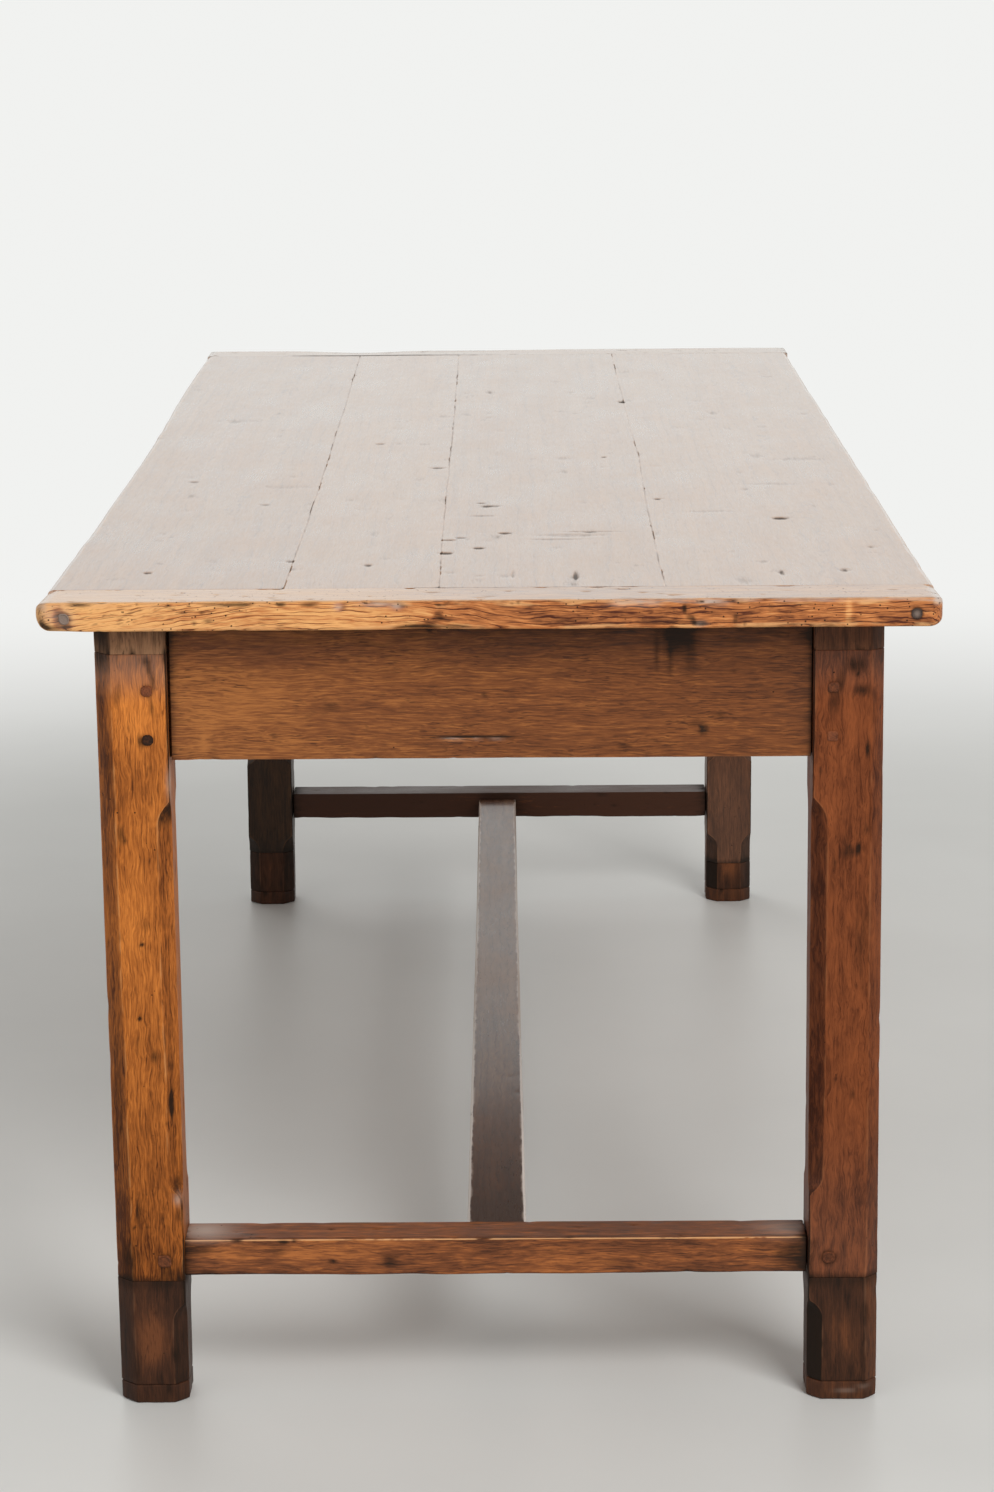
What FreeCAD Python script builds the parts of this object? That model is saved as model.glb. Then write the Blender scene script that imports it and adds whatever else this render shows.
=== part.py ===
import FreeCAD, Part
import os
import re

# Farmhouse table. +X is across the table, +Y along it, +Z up; the origin is on the floor under the middle.

# Driving sizes in millimetres. A name that ends in share is a ratio.
SIZES = {
    # The whole table
    "table_length": 1930,
    "table_height": 760,
    "top_width": 781,
    "far_end_flare": 9,
    "top_thickness": 26,
    # Planks of the top, splined edge to edge
    "left_seam_share": 0.264,
    "middle_seam_share": 0.437,
    "right_seam_share": 0.698,
    "plank_gap": 0.6,
    "arris_radius": 5,
    "spline_width": 18,
    "spline_thickness": 6,
    # Cross boards, tongued and dowelled to the plank ends
    "cross_board_width": 63,
    "corner_radius": 14,
    "tongue_length": 20,
    "tongue_thickness": 9,
    "tongue_end_inset": 34,
    "cross_dowel_radius": 6.5,
    "cross_dowel_inset": 21.5,
    "cross_dowel_reach": 55,
    # Legs: a post with a block on its top, a spliced foot and a pad
    "leg_side_inset": 43,
    "leg_end_inset": 51,
    "leg_size": 62,
    "top_block_height": 30,
    "foot_pad_thickness": 18,
    "near_splice_drop": 2,
    "far_left_splice_drop": 47,
    "far_right_splice_drop": 66,
    # Chamfers of the leg arrises and their scooped stops
    "outer_chamfer": 11,
    "inner_chamfer": 15,
    "upper_stop_gap": 36,
    "lower_stop_gap": 43,
    "foot_stop_gap": 23,
    "upper_scoop_radius": 37,
    "lower_scoop_radius": 24,
    # Dowels inside the legs and nails in the pads
    "leg_dowel_radius": 6,
    "top_dowel_inset": 13,
    "top_dowel_depth": 34,
    "top_dowel_bite": 12,
    "foot_dowel_rise": 30,
    "foot_dowel_share": 0.7,
    "nail_spread": 12,
    "nail_recess": 3,
    "nail_head_radius": 3.5,
    "nail_head_height": 2,
    "nail_shank_radius": 1.5,
    "nail_length": 32,
    # Aprons, tenoned and pegged into the posts
    "apron_height": 127,
    "apron_thickness": 24,
    "apron_setback": 6,
    "apron_tenon_thickness": 10,
    "apron_tenon_rise": 4,
    "apron_tenon_cover": 16,
    "tenon_tip_gap": 3,
    "apron_peg_radius": 5,
    "apron_peg_offset": 18,
    "apron_peg_edge": 15.5,
    "peg_tip_gap": 3,
    # Stretchers: one between each pair of legs and one down the middle
    "stretcher_rise": 121,
    "stretcher_height": 35,
    "stretcher_depth": 46,
    "stretcher_tenon_length": 32,
    "stretcher_tenon_thickness": 14,
    "stretcher_tenon_shoulder": 4,
    "stretcher_peg_radius": 5.5,
    "stretcher_peg_offset": 19,
    "stretcher_peg_run": 8,
    "centre_width": 51,
    "centre_height": 26,
    "centre_tenon_width": 34,
    "centre_tenon_thickness": 12,
    "centre_tenon_length": 30,
    "centre_peg_radius": 4,
    "centre_peg_run": 4,
    "centre_chamfer": 5,
    "centre_stop_gap": 14,
    "centre_scoop_radius": 24,
    # Glue blocks in the corner between the aprons and the top
    "glue_block_length": 70,
    "glue_block_size": 26,
    "glue_block_chamfer": 10,
    "side_block_share": 0.3,
    "end_block_share": 0.25,
    # Room left round tongues, tenons, dowels and pegs
    "fit_clearance": 0.15,
    "cut_overrun": 5,
}

# Planes and lengths that several pieces share
NEAR_WIDTH = "top_width"
FAR_WIDTH = "(top_width + far_end_flare)"
UNDERSIDE = "(table_height - top_thickness)"
MID_TOP = "(table_height - top_thickness / 2)"
POST_TOP = f"({UNDERSIDE} - top_block_height)"
PLANK_END = "(table_length / 2 - cross_board_width)"
LEG_X = "(top_width / 2 - leg_side_inset)"
LEG_Y = "(table_length / 2 - leg_end_inset)"
END_SPAN = f"(2 * {LEG_X} - 2 * leg_size)"
SIDE_SPAN = f"(2 * {LEG_Y} - 2 * leg_size)"
APRON_BOTTOM = f"({UNDERSIDE} - apron_height)"
TENON_MIDDLE = "(apron_setback + apron_thickness / 2)"
TENON_LENGTH = f"(leg_size - {TENON_MIDDLE} - apron_tenon_thickness / 2 - tenon_tip_gap)"
TENON_TOP = "(apron_height - top_block_height - apron_tenon_cover)"
APRON_PEG_LENGTH = "(leg_size - apron_peg_offset - apron_peg_radius - peg_tip_gap)"
APRON_PEG_HEIGHTS = ("(apron_tenon_rise + apron_peg_edge)", f"({TENON_TOP} - apron_peg_edge)")
STRETCHER_TOP = "(stretcher_rise + stretcher_height)"
STRETCHER_MIDDLE = "(stretcher_rise + stretcher_height / 2)"
STRETCHER_PEG_LENGTH = "(leg_size / 2 + stretcher_tenon_thickness / 2 + stretcher_peg_run)"
CENTRE_END = f"({LEG_Y} - leg_size / 2 - stretcher_depth / 2)"
CENTRE_MIDDLE = "(stretcher_rise + centre_height / 2)"
CENTRE_PEG_LENGTH = "(centre_height / 2 + centre_tenon_thickness / 2 + centre_peg_run)"
FOOT_DOWEL_INSET = "((leg_size - stretcher_tenon_length) / 2)"
TOP_DOWEL_INSET = "(leg_size - top_dowel_inset)"

# Each leg: its name, its side along X, its end along Y, and the drop of its foot splice under the stretcher
LEGS = (
    ("near_left", -1, -1, "near_splice_drop"),
    ("near_right", 1, -1, "near_splice_drop"),
    ("far_left", -1, 1, "far_left_splice_drop"),
    ("far_right", 1, 1, "far_right_splice_drop"),
)
ENDS = (("near", -1, 0, NEAR_WIDTH), ("far", 1, 180, FAR_WIDTH))
SEAMS = (("left", "left_seam_share"), ("middle", "middle_seam_share"), ("right", "right_seam_share"))
PLANKS = ("left", "centre_left", "centre_right", "right")

ALONG_X = FreeCAD.Vector(1, 0, 0)
ALONG_Y = FreeCAD.Vector(0, 1, 0)
ALONG_Z = FreeCAD.Vector(0, 0, 1)
SAME_PLACE = 0.001

doc = FreeCAD.newDocument("farmhouse_table")
sheet = doc.addObject("Spreadsheet::Sheet", "Sizes")
for row, (alias, value) in enumerate(SIZES.items(), start=1):
    sheet.set(f"A{row}", alias)
    sheet.set(f"B{row}", str(value))
    sheet.setAlias(f"B{row}", alias)
doc.recompute()

sub_parts = []


# Formulas, primitives and booleans

def formula(text):
    """The text as an expression, with the sheet's name before each of its sizes."""
    return re.sub(r"[a-z_]+", lambda word: f"Sizes.{word[0]}" if word[0] in SIZES else word[0], text)


def bind(thing, **sizes):
    for size, text in sizes.items():
        thing.setExpression(size, formula(text))


def put(thing, x, y, z):
    for axis, text in zip("xyz", (x, y, z)):
        thing.setExpression(f"Placement.Base.{axis}", formula(text))


def named(label, thing):
    """Make the thing a sub-part with this name."""
    thing.Label = label
    sub_parts.append(thing)
    return thing


def new(kind, name, body=None, work="Additive"):
    """A primitive by itself, or one that a body adds or takes away."""
    if body is None:
        return doc.addObject(f"Part::{kind}", name)
    return body.newObject(f"PartDesign::{work}{kind}", name)


def box(name, x, y, z, **home):
    """A box between a low and a high plane on each axis."""
    solid = new("Box", name, **home)
    for size, (low, high) in zip(("Length", "Width", "Height"), (x, y, z)):
        bind(solid, **{size: f"({high}) - ({low})"})
    put(solid, x[0], y[0], z[0])
    return solid


def rod(name, radius, length, direction, start, **home):
    """A round rod that runs from its start in one direction."""
    solid = new("Cylinder", name, **home)
    solid.Placement.Rotation = FreeCAD.Rotation(ALONG_Z, direction)
    bind(solid, Radius=radius, Height=length)
    put(solid, *start)
    return solid


def tapered_board(name, near, far, y, z, **home):
    """A board along Y whose left and right edges differ at its near and far ends."""
    solid = new("Wedge", name, **home)
    bind(solid, Xmin=near[0], Xmax=near[1], X2min=far[0], X2max=far[1], Ymin=y[0], Ymax=y[1])
    bind(solid, Zmin=z[0], Zmax=z[1], Z2min=z[0], Z2max=z[1])
    return solid


def joined(name, things):
    """Things made into one, which has a placement of its own."""
    if len(things) == 1:
        single = doc.addObject("Part::Compound", name)
        single.Links = things
        return single
    fused = doc.addObject("Part::MultiFuse", name)
    fused.Shapes = things
    return fused


def cut(name, base, tools):
    result = doc.addObject("Part::Cut", name)
    result.Base = base
    result.Tool = joined(f"{name}_tools", tools) if len(tools) > 1 else tools[0]
    return result


def group(label, things):
    """Separate solids that share one node."""
    result = doc.addObject("Part::Compound", f"{label}_group")
    result.Links = things
    return named(label, result)


def about(middle, size):
    """The low and high planes of a size that is centred on a plane."""
    return f"{middle} - ({size}) / 2", f"{middle} + ({size}) / 2"


def inward(sign, face, distance):
    """The plane at a distance inward from an outer face on the low or the high side."""
    return f"-({face}) + ({distance})" if sign < 0 else f"({face}) - ({distance})"


def inward_range(sign, face, start, end):
    """The low and high planes of a stretch measured inward from an outer face."""
    planes = inward(sign, face, start), inward(sign, face, end)
    return planes if sign < 0 else planes[::-1]


def roomy(size):
    """A size with clearance on both sides."""
    return f"({size}) + 2 * fit_clearance"


def edge_names(feature, wanted):
    """The names of the feature's edges that pass a test of their direction and middle."""
    doc.recompute()
    names = []
    for number, edge in enumerate(feature.Shape.Edges, start=1):
        if wanted(edge.tangentAt(edge.FirstParameter), edge.CenterOfMass):
            names.append(f"Edge{number}")
    return names


def eased(body, name, feature, wanted, radius):
    """Round the edges of a body's feature that pass a test."""
    fillet = body.newObject("PartDesign::Fillet", name)
    fillet.Base = (feature, edge_names(feature, wanted))
    bind(fillet, Radius=radius)
    return fillet


def stopped_chamfer(name, corner, across, into, along, width, low, high, low_scoop=None, high_scoop=None):
    """A cutter for one arris: a flat that ends in a scooped stop where it has a scoop radius.

    The arris runs through the corner point; low and high are where the cut meets the arris.
    """
    depth = f"({width} * sqrt(0.5))"
    flat_low = f"({low} + sqrt({depth} * (2 * {low_scoop} - {depth})))" if low_scoop else low
    flat_high = f"({high} - sqrt({depth} * (2 * {high_scoop} - {depth})))" if high_scoop else high
    sides = f"-({width})", width
    pieces = [box(f"{name}_flat", (f"-({width})", depth), sides, (flat_low, flat_high))]
    for end, radius, height in (("low", low_scoop, flat_low), ("high", high_scoop, flat_high)):
        if radius:
            start = f"{depth} - {radius}", sides[0], height
            pieces.append(rod(f"{name}_{end}_scoop", radius, f"2 * ({width})", ALONG_Y, start))
    cutter = joined(name, pieces)
    cutter.Placement.Rotation = FreeCAD.Rotation(into, across, along, "ZXY")
    put(cutter, *corner)
    return cutter


# Top planks, the splines between them and the cross boards on their ends

def seam_x(share, width):
    return f"({share} - 0.5) * {width}"


def top_plank(number, name):
    """One plank with end tongues, spline grooves and, on the outer planks, dowel holes."""
    shares = ["0"] + [share for _, share in SEAMS] + ["1"]
    left_gap = "plank_gap / 2" if number > 0 else "0"
    right_gap = "plank_gap / 2" if number < len(PLANKS) - 1 else "0"
    side = {0: -1, len(PLANKS) - 1: 1}.get(number, 0)

    def edges(width):
        left, right = shares[number:number + 2]
        return f"{seam_x(left, width)} + {left_gap}", f"{seam_x(right, width)} - {right_gap}"

    body = named(f"top_plank_{name}", doc.addObject("PartDesign::Body", f"plank_{name}"))
    blank = tapered_board(f"plank_{name}_blank", edges(NEAR_WIDTH), edges(FAR_WIDTH),
                          (f"-{PLANK_END}", PLANK_END), (UNDERSIDE, "table_height"), body=body)
    if side:
        def on_outer_side(direction, middle):
            mean_width = SIZES["top_width"] + SIZES["far_end_flare"] / 2
            return abs(direction.y) > abs(direction.x) and middle.x * side > mean_width / 2 - SAME_PLACE

        eased(body, f"plank_{name}_arrises", blank, on_outer_side, "arris_radius")

    for end, sign, _, width in ENDS:
        left, right = edges(width)
        left_inset = "tongue_end_inset" if side < 0 else "0"
        right_inset = "tongue_end_inset" if side > 0 else "0"
        stretch = inward_range(sign, "table_length / 2", "cross_board_width - tongue_length",
                               "cross_board_width")
        box(f"plank_{name}_{end}_tongue", (f"{left} + {left_inset}", f"{right} - {right_inset}"),
            stretch, about(MID_TOP, "tongue_thickness"), body=body)

    for seam, share in SEAMS[max(number - 1, 0):number + 1]:
        groove = roomy("spline_width")
        tapered_board(f"plank_{name}_{seam}_groove", spline_edges(share, NEAR_WIDTH, groove),
                      spline_edges(share, FAR_WIDTH, groove),
                      (f"-{PLANK_END} - cut_overrun", f"{PLANK_END} + cut_overrun"),
                      about(MID_TOP, roomy("spline_thickness")), body=body, work="Subtractive")

    if side:
        for end, sign, _, width in ENDS:
            rod(f"plank_{name}_{end}_dowel_hole", "cross_dowel_radius + fit_clearance",
                "cross_board_width + cross_dowel_reach + fit_clearance", ALONG_Y * -sign,
                cross_dowel_start(side, sign, width), body=body, work="Subtractive")
            start = (inward(side, LEG_X, TOP_DOWEL_INSET), inward(sign, LEG_Y, TOP_DOWEL_INSET),
                     f"{UNDERSIDE} - cut_overrun")
            rod(f"plank_{name}_{end}_leg_hole", "leg_dowel_radius + fit_clearance",
                "cut_overrun + top_dowel_bite + fit_clearance", ALONG_Z, start,
                body=body, work="Subtractive")


def spline_edges(share, width, size):
    return about(f"({seam_x(share, width)})", size)


def cross_dowel_start(side, sign, width):
    """Where a cross board's dowel meets the end edge of the top."""
    x = inward(side, f"{width} / 2", "cross_dowel_inset")
    return x, inward(sign, "table_length / 2", "0"), MID_TOP


def spline(name, share):
    """A loose tongue that runs along one seam of the top."""
    strip = tapered_board(f"spline_{name}", spline_edges(share, NEAR_WIDTH, "spline_width"),
                          spline_edges(share, FAR_WIDTH, "spline_width"),
                          (f"-{PLANK_END}", PLANK_END), about(MID_TOP, "spline_thickness"))
    named(f"top_spline_{name}", strip)


def cross_board(end, sign, angle, width):
    """A board across the plank ends, with its outer corners and arrises rounded and a stopped groove."""
    body = named(f"cross_board_{end}", doc.addObject("PartDesign::Body", f"board_{end}"))
    body.Placement.Rotation = FreeCAD.Rotation(ALONG_Z, angle)
    put(body, "0", inward(sign, "table_length / 2", "0"), UNDERSIDE)
    half = f"({width} / 2)"
    blank = box(f"board_{end}_blank", (f"-{half}", half), ("0", "cross_board_width"),
                ("0", "top_thickness"), body=body)

    def at_outer_corner(direction, middle):
        return abs(direction.z) > abs(direction.x) + abs(direction.y) and middle.y < SAME_PLACE

    def off_inner_face(direction, middle):
        return abs(direction.z) < SAME_PLACE and middle.y < SIZES["cross_board_width"] - SAME_PLACE

    corners = eased(body, f"board_{end}_corners", blank, at_outer_corner, "corner_radius")
    eased(body, f"board_{end}_arrises", corners, off_inner_face, "arris_radius")
    reach = f"({half} - tongue_end_inset + fit_clearance)"
    box(f"board_{end}_groove", (f"-{reach}", reach),
        ("cross_board_width - tongue_length - fit_clearance", "cross_board_width + cut_overrun"),
        about("top_thickness / 2", roomy("tongue_thickness")), body=body, work="Subtractive")
    for hand, side in (("left", -1), ("right", 1)):
        start = inward(side, half, "cross_dowel_inset"), "-cut_overrun", "top_thickness / 2"
        rod(f"board_{end}_{hand}_hole", "cross_dowel_radius + fit_clearance",
            "cross_board_width + 2 * cut_overrun", ALONG_Y, start, body=body, work="Subtractive")


def cross_dowels(end, sign, _, width):
    """Two long dowels that pin a cross board to the outer planks."""
    dowels = []
    for side_name, side in (("left", -1), ("right", 1)):
        dowels.append(rod(f"cross_dowel_{end}_{side_name}", "cross_dowel_radius",
                          "cross_board_width + cross_dowel_reach", ALONG_Y * -sign,
                          cross_dowel_start(side, sign, width)))
    group(f"cross_board_dowels_{end}", dowels)


# Legs, built from the floor up, and the pegs in their faces

def leg_chamfers(name, side, end):
    """The cutter for all four arrises of a leg, from the floor to the top."""
    cutters = []
    for across_name, x_inset, x_into in (("outer", "0", -side), ("inner", "leg_size", side)):
        for along_name, y_inset, y_into in (("outer", "0", -end), ("inner", "leg_size", end)):
            corner = inward(side, LEG_X, x_inset), inward(end, LEG_Y, y_inset), "0"
            into = FreeCAD.Vector(x_into, y_into, 0)
            across = ALONG_Z.cross(into)
            arris = f"{name}_{across_name}_{along_name}_arris"
            if across_name == along_name == "outer":
                cutters.append(stopped_chamfer(arris, corner, across, into, ALONG_Z, "outer_chamfer",
                                               "-cut_overrun", f"{UNDERSIDE} + cut_overrun"))
                continue
            cutters.append(stopped_chamfer(
                f"{arris}_shaft", corner, across, into, ALONG_Z, "inner_chamfer",
                f"{STRETCHER_TOP} + lower_stop_gap", f"{APRON_BOTTOM} - upper_stop_gap",
                "lower_scoop_radius", "upper_scoop_radius"))
            cutters.append(stopped_chamfer(
                f"{arris}_foot", corner, across, into, ALONG_Z, "inner_chamfer",
                "-cut_overrun", "stretcher_rise - foot_stop_gap", None, "lower_scoop_radius"))
    return joined(f"{name}_chamfers", cutters)


def apron_pegs(name, side, end, length, radius):
    """Two pegs in each outer face of a leg, or the holes for them."""
    pegs = []
    for level, height in zip(("low", "high"), APRON_PEG_HEIGHTS):
        z = f"{APRON_BOTTOM} + {height}"
        inset = "leg_size - apron_peg_offset"
        end_start = inward(side, LEG_X, inset), inward(end, LEG_Y, "0"), z
        side_start = inward(side, LEG_X, "0"), inward(end, LEG_Y, inset), z
        pegs.append(rod(f"{name}_{level}_end", radius, length, ALONG_Y * -end, end_start))
        pegs.append(rod(f"{name}_{level}_side", radius, length, ALONG_X * -side, side_start))
    return pegs


def stretcher_peg(name, side, end, length, radius):
    """The peg through a stretcher tenon, or the hole for it."""
    x = inward(side, LEG_X, "leg_size - stretcher_peg_offset")
    start = x, inward(end, LEG_Y, "0"), STRETCHER_MIDDLE
    return rod(name, radius, length, ALONG_Y * -end, start)


def top_dowel(name, side, end, spare="0"):
    """The dowel from a post through its top block into the top, or the hole for it."""
    start = (inward(side, LEG_X, TOP_DOWEL_INSET), inward(end, LEG_Y, TOP_DOWEL_INSET),
             f"{POST_TOP} - top_dowel_depth - {spare}")
    return rod(name, f"leg_dowel_radius + {spare}",
               f"top_dowel_depth + top_block_height + top_dowel_bite + 2 * {spare}", ALONG_Z, start)


def foot_dowel(name, side, end, splice, spare="0"):
    """The dowel across a foot splice, or the hole for it."""
    drop = f"({splice} - foot_pad_thickness) * foot_dowel_share"
    start = (inward(side, LEG_X, FOOT_DOWEL_INSET), inward(end, LEG_Y, "leg_size / 2"),
             f"{splice} - {drop} - {spare}")
    return rod(name, f"leg_dowel_radius + {spare}", f"{drop} + foot_dowel_rise + 2 * {spare}",
               ALONG_Z, start)


def pad_nail(name, side, end, place, spare="0"):
    """A nail driven up through a pad into the foot, or the hole for it, down to the floor."""
    x = inward(side, LEG_X, f"leg_size / 2 + {place}")
    y = inward(end, LEG_Y, f"leg_size / 2 + {place}")
    is_hole = spare != "0"
    head_start = "-cut_overrun" if is_hole else "nail_recess"
    head_height = "cut_overrun + nail_recess + nail_head_height" if is_hole else "nail_head_height"
    head = rod(f"{name}_head", f"nail_head_radius + {spare}", head_height, ALONG_Z, (x, y, head_start))
    shank = rod(f"{name}_shank", f"nail_shank_radius + {spare}", f"nail_length + {spare}", ALONG_Z,
                (x, y, "nail_recess"))
    return joined(name, [head, shank])


def leg(name, side, end, splice_drop):
    """A leg of four stacked pieces with its mortises, and the pegs, dowels and nails that hold it."""
    splice = f"(stretcher_rise - {splice_drop})"
    x = inward_range(side, LEG_X, "0", "leg_size")
    y = inward_range(end, LEG_Y, "0", "leg_size")
    chamfers = leg_chamfers(name, side, end)
    top_hole = top_dowel(f"{name}_top_dowel_hole", side, end, "fit_clearance")
    foot_hole = foot_dowel(f"{name}_foot_dowel_hole", side, end, splice, "fit_clearance")
    nail_places = (("outer", "-nail_spread"), ("inner", "nail_spread"))
    nail_holes = [pad_nail(f"{name}_{which}_nail_hole", side, end, place, "fit_clearance")
                  for which, place in nail_places]

    tenon_half = f"({roomy('apron_tenon_thickness')}) / 2"
    tenon_layer = f"{TENON_MIDDLE} - {tenon_half}", f"{TENON_MIDDLE} + {tenon_half}"
    depth = f"leg_size - {TENON_LENGTH} - fit_clearance", "leg_size + cut_overrun"
    height = (f"{APRON_BOTTOM} + apron_tenon_rise - fit_clearance",
              f"{APRON_BOTTOM} + {TENON_TOP} + fit_clearance")
    end_mortise = box(f"{name}_end_mortise", inward_range(side, LEG_X, *depth),
                      inward_range(end, LEG_Y, *tenon_layer), height)
    side_mortise = box(f"{name}_side_mortise", inward_range(side, LEG_X, *tenon_layer),
                       inward_range(end, LEG_Y, *depth), height)
    tenon_reach = "leg_size - stretcher_tenon_length - fit_clearance", "leg_size + cut_overrun"
    stretcher_mortise = box(
        f"{name}_stretcher_mortise", inward_range(side, LEG_X, *tenon_reach),
        about(inward(end, LEG_Y, "leg_size / 2"), roomy("stretcher_tenon_thickness")),
        about(STRETCHER_MIDDLE, roomy("stretcher_height - 2 * stretcher_tenon_shoulder")))
    peg_holes = apron_pegs(f"{name}_peg_hole", side, end, f"{APRON_PEG_LENGTH} + fit_clearance",
                           "apron_peg_radius + fit_clearance")
    peg_holes.append(stretcher_peg(
        f"{name}_stretcher_peg_hole", side, end, f"{STRETCHER_PEG_LENGTH} + fit_clearance",
        "stretcher_peg_radius + fit_clearance"))

    pad = box(f"{name}_pad_blank", x, y, ("0", "foot_pad_thickness"))
    named(f"foot_pad_{name}", cut(f"{name}_pad", pad, [chamfers] + nail_holes))
    foot = box(f"{name}_foot_blank", x, y, ("foot_pad_thickness", splice))
    named(f"foot_block_{name}", cut(f"{name}_foot", foot, [chamfers, foot_hole] + nail_holes))
    post = box(f"{name}_post_blank", x, y, (splice, POST_TOP))
    post_tools = [chamfers, foot_hole, top_hole, end_mortise, side_mortise, stretcher_mortise] + peg_holes
    named(f"leg_post_{name}", cut(f"{name}_post", post, post_tools))
    block = box(f"{name}_block_blank", x, y, (POST_TOP, UNDERSIDE))
    named(f"leg_top_block_{name}", cut(f"{name}_block", block, [chamfers, top_hole]))

    group(f"apron_pegs_{name}",
          apron_pegs(f"{name}_peg", side, end, APRON_PEG_LENGTH, "apron_peg_radius"))
    return {
        "top_dowel": [top_dowel(f"{name}_top_dowel", side, end)],
        "foot_dowel": [foot_dowel(f"{name}_foot_dowel", side, end, splice)],
        "nails": [pad_nail(f"{name}_{which}_nail", side, end, place) for which, place in nail_places],
        "stretcher_peg": [stretcher_peg(f"{name}_stretcher_peg", side, end, STRETCHER_PEG_LENGTH,
                                        "stretcher_peg_radius")],
    }


# Aprons, glue blocks and stretchers

def apron(name, span, angle, x, y):
    """A board between two legs, its outer face on local y zero, with a tenon at each end."""
    body = named(f"apron_{name}", doc.addObject("PartDesign::Body", f"apron_body_{name}"))
    body.Placement.Rotation = FreeCAD.Rotation(ALONG_Z, angle)
    put(body, x, y, APRON_BOTTOM)
    half = f"({span} / 2)"
    box(f"apron_{name}_board", (f"-{half}", half), ("0", "apron_thickness"), ("0", "apron_height"),
        body=body)
    for hand, sign in (("left", -1), ("right", 1)):
        reach = inward_range(sign, half, f"-{TENON_LENGTH}", "0")
        box(f"apron_{name}_{hand}_tenon", reach, about("apron_thickness / 2", "apron_tenon_thickness"),
            ("apron_tenon_rise", TENON_TOP), body=body)
        for level, height in zip(("low", "high"), APRON_PEG_HEIGHTS):
            start = inward(sign, half, "-apron_peg_offset"), "-cut_overrun", height
            rod(f"apron_{name}_{hand}_{level}_hole", "apron_peg_radius + fit_clearance",
                "apron_thickness + 2 * cut_overrun", ALONG_Y, start, body=body, work="Subtractive")


def glue_blocks(name, span, angle, x, y, shares):
    """Blocks along an apron's inner face, under the top, with their free arris cut off."""
    blocks = []
    for number, share in enumerate(shares, start=1):
        middle = f"({span} * {share})"
        low = "apron_height - glue_block_size"
        blank = box(f"glue_{name}_{number}_blank", about(middle, "glue_block_length"),
                    ("apron_thickness", "apron_thickness + glue_block_size"), (low, "apron_height"))
        corner = middle, "apron_thickness + glue_block_size", low
        into = FreeCAD.Vector(0, -1, 1)
        bevel = stopped_chamfer(f"glue_{name}_{number}_bevel", corner, ALONG_X.cross(into), into, ALONG_X,
                                "glue_block_chamfer", "-glue_block_length", "glue_block_length")
        blocks.append(cut(f"glue_{name}_{number}", blank, [bevel]))
    row = group(f"glue_blocks_{name}", blocks)
    row.Placement.Rotation = FreeCAD.Rotation(ALONG_Z, angle)
    put(row, x, y, APRON_BOTTOM)


def end_stretcher(name, sign, angle):
    """The rail between two legs, centred on them, with a mortise for the centre stretcher."""
    body = named(f"stretcher_{name}", doc.addObject("PartDesign::Body", f"stretcher_body_{name}"))
    body.Placement.Rotation = FreeCAD.Rotation(ALONG_Z, angle)
    put(body, "0", inward(sign, LEG_Y, "leg_size / 2"), "stretcher_rise")
    half = f"({END_SPAN} / 2)"
    box(f"stretcher_{name}_rail", (f"-{half}", half), about("0", "stretcher_depth"),
        ("0", "stretcher_height"), body=body)
    for hand, side in (("left", -1), ("right", 1)):
        reach = inward_range(side, half, "-stretcher_tenon_length", "0")
        box(f"stretcher_{name}_{hand}_tenon", reach, about("0", "stretcher_tenon_thickness"),
            ("stretcher_tenon_shoulder", "stretcher_height - stretcher_tenon_shoulder"), body=body)
        start = inward(side, half, "-stretcher_peg_offset"), "-stretcher_depth / 2", "stretcher_height / 2"
        rod(f"stretcher_{name}_{hand}_hole", "stretcher_peg_radius + fit_clearance", "stretcher_depth",
            ALONG_Y, start, body=body, work="Subtractive")
    box(f"stretcher_{name}_mortise", about("0", roomy("centre_tenon_width")),
        ("stretcher_depth / 2 - centre_tenon_length - fit_clearance", "stretcher_depth / 2 + cut_overrun"),
        about("centre_height / 2", roomy("centre_tenon_thickness")), body=body, work="Subtractive")
    start = "0", "stretcher_depth / 2 - centre_tenon_length / 2", "-cut_overrun"
    rod(f"stretcher_{name}_peg_hole", "centre_peg_radius + fit_clearance",
        f"cut_overrun + {CENTRE_PEG_LENGTH} + fit_clearance", ALONG_Z, start, body=body, work="Subtractive")


def centre_peg(name, sign, radius, length):
    """A peg from below through a tenon of the centre stretcher, or the hole for it."""
    start = "0", inward(sign, f"{CENTRE_END} + centre_tenon_length / 2", "0"), "stretcher_rise"
    return rod(name, radius, length, ALONG_Z, start)


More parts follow.
